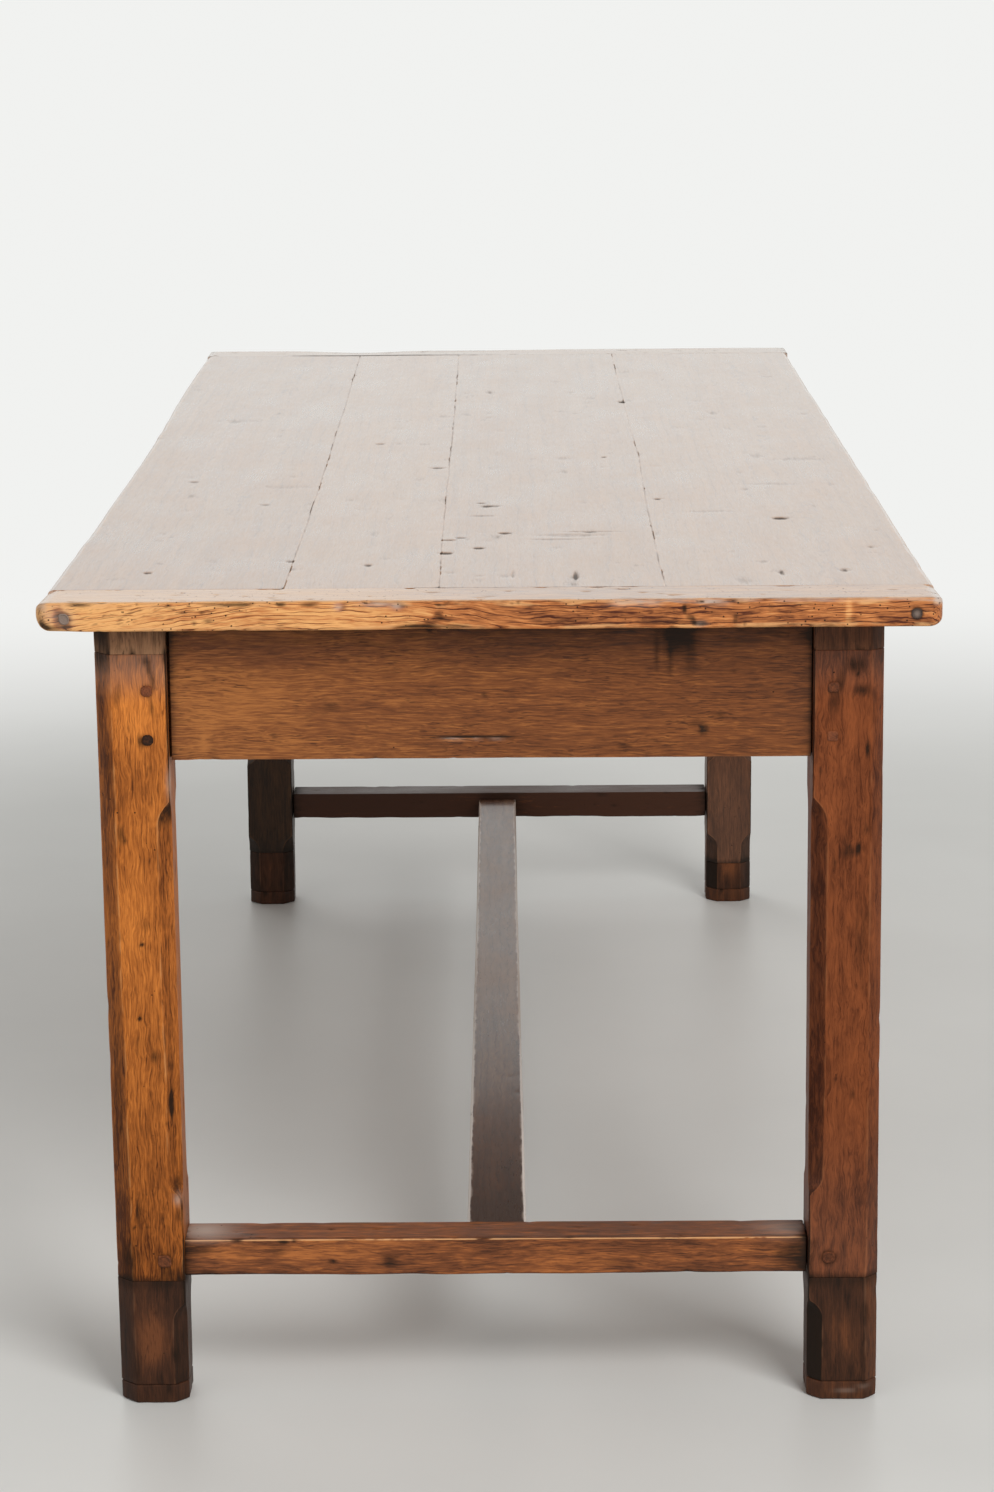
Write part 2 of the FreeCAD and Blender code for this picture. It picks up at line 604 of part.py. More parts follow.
def centre_stretcher():
    """The long rail between the end stretchers, its upper arrises chamfered up to scooped stops."""
    rail = box("centre_rail", about("0", "centre_width"), (f"-{CENTRE_END}", CENTRE_END),
               about(CENTRE_MIDDLE, "centre_height"))
    tenon = box("centre_tenons", about("0", "centre_tenon_width"),
                (f"-{CENTRE_END} - centre_tenon_length", f"{CENTRE_END} + centre_tenon_length"),
                about(CENTRE_MIDDLE, "centre_tenon_thickness"))
    tools = []
    for hand, side in (("left", -1), ("right", 1)):
        corner = inward(side, "centre_width / 2", "0"), "0", "stretcher_rise + centre_height"
        into = FreeCAD.Vector(-side, 0, -1)
        tools.append(stopped_chamfer(
            f"centre_{hand}_arris", corner, ALONG_Y.cross(into), into, ALONG_Y, "centre_chamfer",
            f"-{CENTRE_END} + centre_stop_gap", f"{CENTRE_END} - centre_stop_gap",
            "centre_scoop_radius", "centre_scoop_radius"))
    for end, sign, *_ in ENDS:
        tools.append(centre_peg(f"centre_{end}_peg_hole", sign, "centre_peg_radius + fit_clearance",
                                f"{CENTRE_PEG_LENGTH} + fit_clearance"))
    named("stretcher_centre", cut("centre_stretcher", joined("centre_blank", [rail, tenon]), tools))


# The table, piece by piece

for plank_number, plank_name in enumerate(PLANKS):
    top_plank(plank_number, plank_name)
for seam_name, seam_share in SEAMS:
    spline(seam_name, seam_share)
for table_end in ENDS:
    cross_board(*table_end)
    cross_dowels(*table_end)

hidden_pieces = {}
for table_leg in LEGS:
    for kind, pieces in leg(*table_leg).items():
        hidden_pieces.setdefault(kind, []).extend(pieces)
group("leg_top_dowels", hidden_pieces["top_dowel"])
group("foot_dowels", hidden_pieces["foot_dowel"])
group("foot_pad_nails", hidden_pieces["nails"])
group("stretcher_pegs", hidden_pieces["stretcher_peg"])

end_shares = "-end_block_share", "end_block_share"
side_shares = "-side_block_share", "0", "side_block_share"
for board_name, board_span, board_angle, board_x, board_y, block_shares in (
    ("near", END_SPAN, 0, "0", inward(-1, LEG_Y, "apron_setback"), end_shares),
    ("far", END_SPAN, 180, "0", inward(1, LEG_Y, "apron_setback"), end_shares),
    ("left", SIDE_SPAN, -90, inward(-1, LEG_X, "apron_setback"), "0", side_shares),
    ("right", SIDE_SPAN, 90, inward(1, LEG_X, "apron_setback"), "0", side_shares),
):
    apron(board_name, board_span, board_angle, board_x, board_y)
    glue_blocks(board_name, board_span, board_angle, board_x, board_y, block_shares)

for end_name, end_sign, end_angle, _ in ENDS:
    end_stretcher(end_name, end_sign, end_angle)
centre_stretcher()
centre_pegs = [centre_peg(f"centre_{end_name}_peg", end_sign, "centre_peg_radius", CENTRE_PEG_LENGTH)
               for end_name, end_sign, *_ in ENDS]
group("centre_stretcher_pegs", centre_pegs)

# Check every object, then write each sub-part
doc.recompute()
failed = [thing.Label for thing in doc.Objects if {"Invalid", "Error"} & set(thing.State)]
failed += [part.Label for part in sub_parts if part.Shape.isNull() or not part.Shape.isValid()]
if failed:
    raise RuntimeError("these objects failed: " + ", ".join(failed))

os.makedirs("parts", exist_ok=True)
for part in sub_parts:
    part.Shape.exportStep(f"parts/{part.Label}.step")
    print(f"{part.Label}: {len(part.Shape.Solids)} solid(s), {part.Shape.Volume:.0f} mm3")
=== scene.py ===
import math

import bpy
import numpy as np
from mathutils import Matrix, Vector

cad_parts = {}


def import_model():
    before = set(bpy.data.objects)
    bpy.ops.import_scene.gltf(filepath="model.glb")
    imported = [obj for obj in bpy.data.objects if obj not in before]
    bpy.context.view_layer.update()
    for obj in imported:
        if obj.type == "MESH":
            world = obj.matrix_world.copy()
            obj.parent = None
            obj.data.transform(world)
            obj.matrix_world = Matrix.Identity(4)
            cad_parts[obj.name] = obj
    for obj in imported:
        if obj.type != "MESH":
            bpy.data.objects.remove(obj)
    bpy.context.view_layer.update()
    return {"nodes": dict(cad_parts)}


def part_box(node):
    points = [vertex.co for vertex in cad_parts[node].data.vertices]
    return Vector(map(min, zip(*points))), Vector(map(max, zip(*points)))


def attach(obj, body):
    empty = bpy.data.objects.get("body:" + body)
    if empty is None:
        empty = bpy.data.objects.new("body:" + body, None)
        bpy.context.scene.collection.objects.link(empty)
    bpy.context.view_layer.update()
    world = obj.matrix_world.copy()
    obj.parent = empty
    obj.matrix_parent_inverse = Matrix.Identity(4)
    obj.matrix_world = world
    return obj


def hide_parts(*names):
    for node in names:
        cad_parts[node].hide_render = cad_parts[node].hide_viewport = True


# An old waxed farmhouse table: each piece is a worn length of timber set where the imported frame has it.
# Shapes are worked out in millimetres. +X is across the table, +Y along it, +Z up.

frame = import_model()

MM = 0.001
X, Y, Z = 0, 1, 2


def cad(node):
    """The lowest and highest corners of a CAD node, in millimetres."""
    low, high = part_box(node)
    return np.array(low) / MM, np.array(high) / MM


# Places that several pieces share

SIDES = {"left": -1, "right": 1}
ENDS = {"near": -1, "far": 1}
TOP_LOW, TOP_HIGH = cad("cross_board_near")
UNDERSIDE, TOP = TOP_LOW[Z], TOP_HIGH[Z]
CROSS_SEAM = abs(TOP_HIGH[Y])
STRETCHER_LOW, STRETCHER_HIGH = cad("stretcher_near")
SHOULDER_GAP = 0.9
TENON_LENGTH = 24


# Repeatable noise

def lattice(cell, seed):
    """A repeatable value from -1 to 1 for each whole-numbered place."""
    mixed = np.sin(cell @ np.array([127.1, 311.7, 74.7]) + seed * 53.3) * 43758.5453
    return 2 * (mixed - np.floor(mixed)) - 1


def noise(points, size, seed):
    """Smooth noise from -1 to 1 with lumps of a size, which may differ along each axis."""
    scaled = points / np.asarray(size, float)
    cell = np.floor(scaled)
    share = scaled - cell
    share = share * share * (3 - 2 * share)
    total = np.zeros(len(points))
    for corner in np.ndindex(2, 2, 2):
        weight = np.where(corner, share, 1 - share).prod(axis=1)
        total += weight * lattice(cell + corner, seed)
    return total


def ripple(along, size, seed):
    """Noise from -1 to 1 along a line."""
    return noise(np.column_stack([along, np.zeros_like(along), np.zeros_like(along)]), size, seed)


def eased(value, start, end):
    """A smooth step from 0 at the start to 1 at the end, which may be the lower of the two."""
    share = np.clip((value - start) / (end - start), 0, 1)
    return share * share * (3 - 2 * share)


def fade(distance, reach, power=1):
    """1 at no distance and falling away about a reach, more suddenly with a higher power."""
    return np.exp(-(np.abs(distance) / reach) ** power)


# Timber

CORNER_SHARES = np.array([0, 0.08, 0.24, 0.37, 0.5, 0.63, 0.76, 0.92, 1])
CAP_SHARES = (0.96, 0.7, 0.4, 0.12)
END_STEPS = 9
WIDEST_ARRIS = 0.44
SUPPORT, WIDEST_SUPPORT = 1.6, 0.2
ARRIS_FADE, FACET_FADE = 2.2, 5
TENON_ARRIS = 0.8
CROWDING = (-1.2, -0.6, 0, 0.6, 1.2)
HEART_AWAY = np.array([4000, 70, 45])
FLAKE_LENGTH, FLAKE_WIDTH, FLAKE_ONSET = 9, 5, (0.58, 0.73)


def crowd(places, reaches):
    """Extra places close about each of some places."""
    return (np.asarray(places, float)[:, None] + np.outer(reaches, CROWDING)).ravel()


def stations(start, end, step, radius, extra):
    """Places along a bar, and how far its rounded ends draw the section in at each."""
    turn = np.linspace(0, math.pi / 2, END_STEPS)
    reach = radius * (1 - np.cos(turn))
    draw = radius * (1 - np.sin(turn))
    count = max(int(round((end - start - 2 * radius) / step)), 1)
    extra = [place for place in extra if start + radius < place < end - radius]
    middle = np.union1d(np.linspace(start + radius, end - radius, count + 1), extra)
    along = np.concatenate([start + reach[:-1], middle, end - reach[-2::-1]])
    inset = np.concatenate([draw[:-1], np.zeros(len(middle)), draw[-2::-1]])
    return along, inset


def with_tenons(along, planes, sizes, length, tenon_planes):
    """Add a thinner stub past each end."""
    stub_planes = np.tile(np.asarray(tenon_planes, float), (2, 1))
    stub_sizes = np.full((2, 4), TENON_ARRIS)
    along = np.concatenate([[along[0] - length, along[0]], along, [along[-1], along[-1] + length]])
    return (along, np.concatenate([stub_planes, planes, stub_planes]),
            np.concatenate([stub_sizes, sizes, stub_sizes]))


def outline(planes, sizes, roundness, across, finer):
    """Points round the section at each station, how worn each is, and where on which arris it lies."""
    spans = np.minimum(planes[:, 1] - planes[:, 0], planes[:, 3] - planes[:, 2])
    sizes = np.minimum(sizes, WIDEST_ARRIS * spans[:, None])
    corners = np.stack([planes[:, pair] for pair in ([0, 2], [1, 2], [1, 3], [0, 3])], axis=1)
    points, worn, facets = [], [], []
    for number in range(4):
        before, here, after = (corners[:, (number + turn) % 4] for turn in (-1, 0, 1))
        length = np.abs(after - here).sum(axis=1, keepdims=True)
        heading = (after - here) / length
        backing = (before - here) / np.abs(before - here).sum(axis=1, keepdims=True)
        start = here + backing * sizes[:, number, None]
        end = here + heading * sizes[:, number, None]
        for share in CORNER_SHARES:
            line = start + share * (end - start)
            curve = (1 - share) ** 2 * start + 2 * share * (1 - share) * here + share ** 2 * end
            points.append(line + roundness[number] * (curve - line))
            worn.append(roundness[number] + (1 - roundness[number]) * abs(2 * share - 1) ** FACET_FADE)
            facets.append(number + share if 0 < share < 1 else -1)
        following = after - heading * sizes[:, (number + 1) % 4, None]
        longest = length.max()
        support = min(SUPPORT / longest, WIDEST_SUPPORT)
        wanted = [share for share in finer.get(number, ()) if support < share < 1 - support]
        count = max(int(longest / across), 1)
        for share in np.union1d(np.linspace(support, 1 - support, count + 1), wanted):
            points.append(end + share * (following - end))
            worn.append(math.exp(-min(share, 1 - share) * longest / ARRIS_FADE))
            facets.append(-1)
    return np.stack(points, axis=1), worn, facets


def loft_faces(rows, around):
    """Quads between rings, and a face that closes each end."""
    first = np.arange(rows - 1)[:, None] * around
    here, following = np.arange(around), np.roll(np.arange(around), -1)
    above = first + around
    quads = np.stack([first + here, first + following, above + following, above + here], axis=2)
    faces = quads.reshape(-1, 4).tolist()
    faces.append(list(range(around))[::-1])
    faces.append(list(range((rows - 1) * around, rows * around)))
    return faces


class Timber:
    """A worn length of wood: rings of points round its section, set out along its grain.

    Section sides are the low and high planes of the two axes after the grain's own. Corners run round
    the section from low-low: high-low, high-high, then low-high.
    """

    x = property(lambda self: self.places[:, X])
    y = property(lambda self: self.places[:, Y])
    z = property(lambda self: self.places[:, Z])

    def __init__(self, axis, low, high, seed, step, across, arrises, end_radius, roundness=0.9,
                 end_pull=(1, 1), reshape=None, tenon=None, extra=(), finer=None):
        self.axis, self.seed = axis, seed
        self.order = [(axis + turn) % 3 for turn in range(3)]
        low, high = np.asarray(low, float)[self.order], np.asarray(high, float)[self.order]
        along, inset = stations(low[0], high[0], step, end_radius, extra)
        planes = np.tile([low[1], high[1], low[2], high[2]], (len(along), 1))
        if reshape:
            reshape(along, planes)
        first_half = along[:, None] < (low[0] + high[0]) / 2
        planes += inset[:, None] * np.array([1, -1, 1, -1]) * np.where(first_half, *end_pull)
        sizes = arrises(along) if callable(arrises) else np.tile(arrises, (len(along), 1)).astype(float)
        if tenon:
            along, planes, sizes = with_tenons(along, planes, sizes, *tenon)
        self.loft(along, *outline(planes, sizes, np.broadcast_to(roundness, 4), across, finer or {}))
        self.set_grain(low, high)
        self.dark, self.tone, self.pale = np.zeros((3, len(self.places)))

    def loft(self, along, rings, worn, facets):
        """Set out the rings with a closed end past the first and last, and each point's outward normal."""
        tangents = np.roll(rings, -1, axis=1) - np.roll(rings, 1, axis=1)
        normals = np.stack([tangents[..., 1], -tangents[..., 0]], axis=2)
        normals /= np.linalg.norm(normals, axis=2, keepdims=True) + 1e-9
        rows = np.arange(-len(CAP_SHARES), len(along) + len(CAP_SHARES))
        nearest = np.clip(rows, 0, len(along) - 1)
        cap = np.sign(rows - nearest)[:, None, None]
        shares = np.concatenate([CAP_SHARES[::-1], np.ones(len(along)), CAP_SHARES])[:, None, None]
        rings, normals = rings[nearest], np.where(cap, 0, normals[nearest])
        middles = rings.mean(axis=1, keepdims=True)
        spread = middles + shares * (rings - middles)
        column = np.ones((len(rows), rings.shape[1], 1))
        self.places = self.to_world(column * along[nearest, None, None], spread)
        self.normals = self.to_world(column * cap, normals)
        self.worn = np.outer(cap == 0, worn).ravel()
        self.facet = np.tile(facets, len(rows))
        self.faces = loft_faces(len(rows), rings.shape[1])

    def to_world(self, along, across):
        """Points in the frame's own axes, from parts along the grain and across it."""
        world = np.empty((along.size, 3))
        world[:, self.order] = np.concatenate([along, across], axis=2).reshape(-1, 3)
        return world

    def set_grain(self, low, high):
        """Grain coordinates: along the grain, then across it from a heart that lies off the piece."""
        draw = np.random.default_rng(self.seed)
        heart = draw.uniform(0.6, 1.4, 3) * draw.choice([-1, 1], 3) * HEART_AWAY
        self.grain = self.places[:, self.order] - (low + high) / 2 + heart

    def lumps(self, length, width, shift=0):
        """Noise from -1 to 1 with lumps of a length along the grain and a width across it."""
        return noise(self.grain, (length, width, width), self.seed + shift)

    def press(self, depth):
        """Move the surface inward by a depth at each point."""
        self.places = self.places - self.normals * depth[:, None]

    def weather(self, depth, length, width, faces=(X, Y, Z), where=1.0):
        """Wear down the faces that look along some axes, in long shallow waves."""
        share = where * np.abs(self.normals[:, list(faces)]).max(axis=1)
        self.press(depth * share * (0.5 + 0.5 * self.lumps(length, width)))
        return self

    def sink(self, depth, length, width):
        """Wear the upper face down in long shallow waves, and its arrises with it."""
        upper = self.z > (self.z.min() + self.z.max()) / 2
        waves = 0.5 + 0.5 * self.lumps(length, width)
        self.places = self.places - np.outer(depth * waves * upper, [0, 0, 1])
        return self

    def mark(self, at, size, depth=0.0, dark=0.0, tone=0.0, pale=0.0, hard=1):
        """A dent, a stained patch or a pale patch about a place; a harder one has steeper sides."""
        apart = (((self.places - np.asarray(at, float)) / np.asarray(size, float)) ** 2).sum(axis=1)
        share = np.exp(-apart ** hard)
        self.press(depth * share)
        self.dark += dark * share
        self.tone += tone * share
        self.pale += pale * share
        return self

    def front_marks(self, table, face, reach, hard=1):
        """Marks on a front face: across, height, width, tallness, depth, darkness and any tone of each."""
        for x, z, width, tall, *amounts in table:
            self.mark((x, face, z), (width, reach, tall), *amounts, hard=hard)

    def shade_and_stain(self, table, hand, where=1.0):
        """Add to a field by how far each height lies into a span: field, amounts left and right, span."""
        for field, amounts, span in table:
            values = getattr(self, field)
            values += amounts[hand] * eased(self.z, *span) * where

    def pale_patch(self, at, size, pale, depth=0.0, lightened=1.0):
        """A pale place that clears away some of the dark; it serves for flakes, filler and worn places, and
        for painted highlights and reflections.
        """
        self.mark(at, size, depth, dark=-lightened * pale, pale=pale)

    def bruise(self, count, size, depth, dark):
        """Scatter small dents, longer along the grain."""
        draw = np.random.default_rng(self.seed + 1)
        for _ in range(count):
            at = self.places[draw.integers(len(self.places))]
            reach = np.full(3, size * draw.uniform(0.5, 1.5))
            reach[self.axis] *= draw.uniform(1, 3)
            self.mark(at, reach, depth * draw.uniform(0.2, 1), dark * draw.uniform(0, 1))
        return self

    def on_arris(self, number, start=0.0, end=1.0):
        """1 on the points of an arris between two shares of the way across it, and 0 elsewhere."""
        return ((self.facet > number + start) & (self.facet < number + end)).astype(float)

    def chip(self, number, depth, dark):
        """Break small flakes off an arris."""
        flakes = eased(self.lumps(FLAKE_LENGTH, FLAKE_WIDTH, 31), *FLAKE_ONSET) * self.on_arris(number)
        self.press(depth * flakes)
        self.dark += dark * flakes * (0.6 + 0.8 * self.lumps(3, 3, 32))

    def lean(self, shift):
        """Move each point across the table by a rule of its place."""
        self.places = self.places + np.outer(shift(self), [1, 0, 0])


def new_object(name, data):
    """A new object in the scene."""
    made = bpy.data.objects.new(name, data)
    bpy.context.scene.collection.objects.link(made)
    return made


def piece(name, timbers, material):
    """One Blender object of one or more timbers, which stands for the CAD node of its name."""
    def joined(field):
        return np.concatenate([getattr(timber, field) for timber in timbers])

    faces, offset = [], 0
    for timber in timbers:
        faces += [[index + offset for index in face] for face in timber.faces]
        offset += len(timber.places)
    mesh = bpy.data.meshes.new(name)
    mesh.from_pydata((joined("places") * MM).tolist(), [], faces)
    grain = mesh.attributes.new("grain", "FLOAT_VECTOR", "POINT")
    grain.data.foreach_set("vector", (joined("grain") * MM).ravel())
    for field in ("worn", "dark", "tone", "pale"):
        mesh.attributes.new(field, "FLOAT", "POINT").data.foreach_set("value", joined(field))
    mesh.polygons.foreach_set("use_smooth", [True] * len(mesh.polygons))
    mesh.materials.append(material)
    made = new_object(name, mesh)
    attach(made, "root")
    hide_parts(name)


# Materials

def colour(red, green, blue):
    """A colour as it looks on a screen, turned to the linear values of a shader."""
    linear = []
    for part in (red, green, blue):
        share = part / 255
        linear.append(share / 12.92 if share <= 0.04045 else ((share + 0.055) / 1.055) ** 2.4)
    return (*linear, 1)


class Paint:
    """The nodes of a material or a world, with short calls that add a node and give its output."""

    def __init__(self, owner):
        owner.use_nodes = True
        self.owner, self.tree = owner, owner.node_tree
        self.tree.nodes.clear()

    def add(self, kind, sockets, output=0, **settings):
        node = self.tree.nodes.new("ShaderNode" + kind)
        for name, value in settings.items():
            setattr(node, name, value)
        for socket, value in sockets.items():
            if isinstance(value, bpy.types.NodeSocket):
                self.tree.links.new(value, node.inputs[socket])
            else:
                node.inputs[socket].default_value = value
        return node.outputs[output] if node.outputs else None

    def math(self, operation, first, second=0.5):
        return self.add("Math", {0: first, 1: second}, operation=operation)

    def sum(self, *terms):
        """The sum of values times weights."""
        total = 0.0
        for value, weight in terms:
            total = self.add("Math", {0: value, 1: weight, 2: total}, operation="MULTIPLY_ADD")
        return total

    def span(self, value, start, end, low=0.0, high=1.0):
        sockets = {"Value": value, "From Min": start, "From Max": end, "To Min": low, "To Max": high}
        return self.add("MapRange", sockets)

    def blend(self, factor, first, second):
        return self.add("Mix", {0: factor, 6: first, 7: second}, 2, data_type="RGBA")

    def scaled(self, vector, *factors):
        return self.add("VectorMath", {0: vector, 1: factors}, operation="MULTIPLY")

    def lumps(self, vector, along, across, detail=3.0, output=0):
        """Noise with lumps of a length along the grain and a width across it, in metres."""
        stretched = self.scaled(vector, 1 / along, 1 / across, 1 / across)
        sockets = {"Vector": stretched, "Scale": 1.0, "Detail": detail, "Roughness": 0.55}
        return self.add("TexNoise", sockets, output)

    def warped(self, vector, along, across, amount):
        """The same coordinates, bent across the grain by noise."""
        push = self.lumps(vector, along, across, 2.0, "Color")
        push = self.add("VectorMath", {0: push, 1: (0.5, 0.5, 0.5)}, operation="SUBTRACT")
        sockets = {0: push, 1: (0, amount, amount), 2: vector}
        return self.add("VectorMath", sockets, operation="MULTIPLY_ADD")

    def attribute(self, name, output="Fac"):
        return self.add("Attribute", {}, output, attribute_name=name)

    def ramp(self, value, centre, reach, palette):
        """The dark, middle and light colours of a palette, spread a reach to either side of a centre."""
        node = self.tree.nodes.new("ShaderNodeValToRGB")
        elements = node.color_ramp.elements
        elements.new(1)
        for element, shift, shade in zip(elements, (-reach, 0, reach), palette[::-1]):
            element.position, element.color = centre + shift, colour(*shade)
        self.tree.links.new(value, node.inputs[0])
        return node.outputs[0]

    def finish(self, shader):
        self.add("OutputMaterial", {"Surface": shader})
        return self.owner


# The dark colour stands for dirt, and for painted shade where the dark marks carry it.
DIRT_AND_SHADE_COLOUR, PALE = colour(30, 22, 16), colour(180, 161, 148)
WORM_RADIUS = 0.0006
UPPER_SPECULAR, UPPER_COAT = 0.5, 1.0
CLOUD_SHARE, RING_SHARE, TONE_SHARE = 0.36, -0.14, 0.25
SHADE_REACH, SHADE_OFFSET = 0.19, 0.17


def worm_holes(paint, grain, spacing, amount):
    """Small round holes, in the parts of the wood that worms have eaten."""
    cells = paint.scaled(grain, 1 / spacing, 1 / spacing, 1 / spacing)
    distance = paint.add("TexVoronoi", {"Vector": cells, "Scale": 1.0}, "Distance")
    holes = paint.span(distance, WORM_RADIUS / spacing, 1.6 * WORM_RADIUS / spacing, 1.0, 0.0)
    eaten = paint.lumps(grain, along=0.1, across=0.06, detail=2.0)
    return paint.math("MULTIPLY", holes, paint.span(eaten, 0.62 - 0.2 * amount, 0.68 - 0.2 * amount))


def wood(name, palette, worn, ring=0.0038, lines=1.0, thinness=9.0, run=0.03, streak=0.28, fibre=0.36,
         dashes=0.6, contrast=1.0, gloss=(0.32, 0.5), coat=0.0, coat_roughness=0.28, specular=0.2,
         worms=0.3, worm_spacing=0.011, waver=0.005, mottle=0.25, relief=0.0003, haze=None, upper=None,
         source=None):
    """Waxed old timber: swaying growth rings, streaks, fibres, pores, worn arrises, dirt and worm holes,
    and the painted shade, highlights and reflections that some pieces carry in their marks.
    """
    paint = Paint(bpy.data.materials.new(name))
    grain = source(paint) if source else paint.attribute("grain", "Vector")
    bent = paint.warped(grain, along=0.3, across=0.09, amount=0.014)
    bent = paint.warped(bent, along=0.035, across=0.014, amount=waver)
    from_heart = paint.scaled(bent, 0, 1 / ring, 1 / ring)
    from_heart = paint.add("VectorMath", {0: from_heart}, "Value", operation="LENGTH")
    rings = paint.math("POWER", paint.math("FRACT", from_heart), thinness)
    breaks = paint.span(paint.lumps(bent, along=run, across=0.005), 0.4, 0.56)
    rings = paint.math("MULTIPLY", rings, breaks)
    streaks = paint.lumps(bent, along=0.26, across=0.009)
    fibres = paint.lumps(bent, along=0.024, across=0.0011)
    clouds = paint.lumps(grain, along=0.13, across=0.06)
    blots = paint.lumps(bent, along=0.026, across=0.006, detail=4.0)
    crowded = paint.span(paint.lumps(grain, along=0.09, across=0.03, detail=2.0), 0.4, 0.62)
    pores = paint.span(paint.lumps(bent, along=0.011, across=0.0012, detail=1.0), 0.56, 0.68)
    pores = paint.math("MULTIPLY", pores, crowded)
    shade = paint.sum((streaks, streak), (fibres, fibre), (clouds, CLOUD_SHARE), (blots, mottle),
                      (rings, RING_SHARE * lines), (paint.attribute("tone"), TONE_SHARE))
    reach = SHADE_REACH / contrast
    centre = SHADE_OFFSET + (mottle + streak + fibre) / 2
    base = paint.ramp(shade, centre, reach, palette)
    base = paint.blend(paint.sum((pores, dashes)), base, colour(*palette[2]))
    if upper:
        facing = paint.add("SeparateXYZ", {0: paint.add("NewGeometry", {}, "Normal")}, "Z")
        facing = paint.span(facing, 0.75, 0.97)
        base = paint.blend(facing, base, paint.ramp(shade, centre, reach, upper))
        coat = paint.span(facing, 0, 1, coat, UPPER_COAT)
        specular = paint.span(facing, 0, 1, specular, UPPER_SPECULAR)
    if haze:
        haze_colour, haze_share = haze
        bloom = paint.lumps(grain, along=0.3, across=0.09, detail=4.0)
        base = paint.blend(paint.span(bloom, 0.45, 0.7, 0, haze_share), base, colour(*haze_colour))
    patchy = paint.span(paint.lumps(grain, along=0.03, across=0.012), 0.36, 0.62, 0.1, 1.0)
    # The worn attribute holds wear and, on the stretchers, painted highlights and reflections.
    wear_and_highlight = paint.math("MULTIPLY", paint.attribute("worn"), patchy)
    base = paint.blend(paint.span(wear_and_highlight, 0.3, 1.0, 0, 0.75), base, colour(*worn))
    # The pale attribute holds pale stains and filler, and painted highlights and reflections on the top's
    # edges, its flakes and a leg.
    base = paint.blend(paint.span(paint.attribute("pale"), 0, 1), base, PALE)
    holes = worm_holes(paint, grain, worm_spacing, worms)
    smeared = paint.lumps(bent, along=0.02, across=0.003, detail=4.0)
    # The dark attribute holds dirt and, on some pieces, painted shade; both are blended towards the dark
    # colour.
    dirt_and_shade = paint.span(paint.sum((paint.attribute("dark"), 1.0), (smeared, 0.9)), 0.55, 1.25)
    holes_dirt_and_shade = paint.math("MAXIMUM", holes, dirt_and_shade)
    base = paint.blend(paint.span(holes_dirt_and_shade, 0, 1, 0, 0.92), base, DIRT_AND_SHADE_COLOUR)
    low, high = gloss
    dull = paint.sum((fibres, 0.5), (clouds, 0.5), (holes_dirt_and_shade, 0.5))
    roughness = paint.span(dull, 0.35, 0.85, low, high + 0.2)
    height = paint.sum((fibres, 0.5), (rings, -0.3), (pores, -0.5), (holes, -2.0), (smeared, 0.4))
    normal = paint.add("Bump", {"Strength": 0.6, "Distance": relief, "Height": height})
    shine = paint.math("MULTIPLY", paint.span(holes_dirt_and_shade, 0.3, 0.9, 1.0, 0.08), coat)
    return paint.finish(paint.add("BsdfPrincipled", {
        "Base Color": base, "Roughness": roughness, "Normal": normal, "Specular IOR Level": specular,
        "Coat Weight": shine, "Coat Roughness": coat_roughness, "Coat IOR": 1.6}))


def object_grain(axis):
    """Grain coordinates for a CAD node, which has none of its own: its place, with the grain on an axis."""
    def source(paint):
        parts = paint.add("SeparateXYZ", {0: paint.add("TexCoord", {}, "Object")}).node.outputs
        return paint.add("CombineXYZ", {turn: parts[(axis + turn) % 3] for turn in range(3)})
    return source


def iron(name):
    """Old hand-made nails: dark, pitted and touched with rust."""
    paint = Paint(bpy.data.materials.new(name))
    place = paint.add("TexCoord", {}, "Object")
    pits = paint.lumps(place, along=0.0015, across=0.0015, detail=4.0)
    rust = paint.span(paint.lumps(place, along=0.006, across=0.006), 0.45, 0.65)
    base = paint.blend(rust, colour(58, 54, 52), colour(104, 62, 40))
    normal = paint.add("Bump", {"Strength": 0.6, "Distance": 0.0003, "Height": pits})
    roughness = paint.span(pits, 0.3, 0.7, 0.45, 0.8)
    return paint.finish(paint.add("BsdfPrincipled", {
        "Base Color": base, "Roughness": roughness, "Normal": normal, "Metallic": 0.7}))


# Each wood has its light, middle and dark colour, then the colour of its worn arrises, which on the
# stretchers also paints highlights and reflections

TOP_WOOD = wood(
    "top_wood", ((204, 146, 88), (170, 112, 62), (90, 50, 27)), (190, 134, 84), ring=0.008, lines=1.5,
    streak=0.42, fibre=0.26, dashes=0.2, contrast=0.75, gloss=(0.26, 0.34), coat=0.1, coat_roughness=0.2,
    worms=0.1, relief=0.000012, haze=((158, 128, 96), 0.15),
    upper=((174, 125, 78), (149, 103, 62), (112, 72, 45)))
EDGE_WOOD = wood(
    "cross_board_wood", ((222, 165, 104), (182, 112, 62), (74, 32, 16)), (216, 162, 108), ring=0.0026,
    lines=5.6, thinness=12.0, run=0.055, streak=0.16, fibre=0.42, dashes=0.8, contrast=1.2, coat=0.1,
    coat_roughness=0.2, specular=0.15, worms=0.9, worm_spacing=0.006, relief=0.0002,
    upper=((204, 154, 102), (184, 133, 85), (120, 80, 50)))
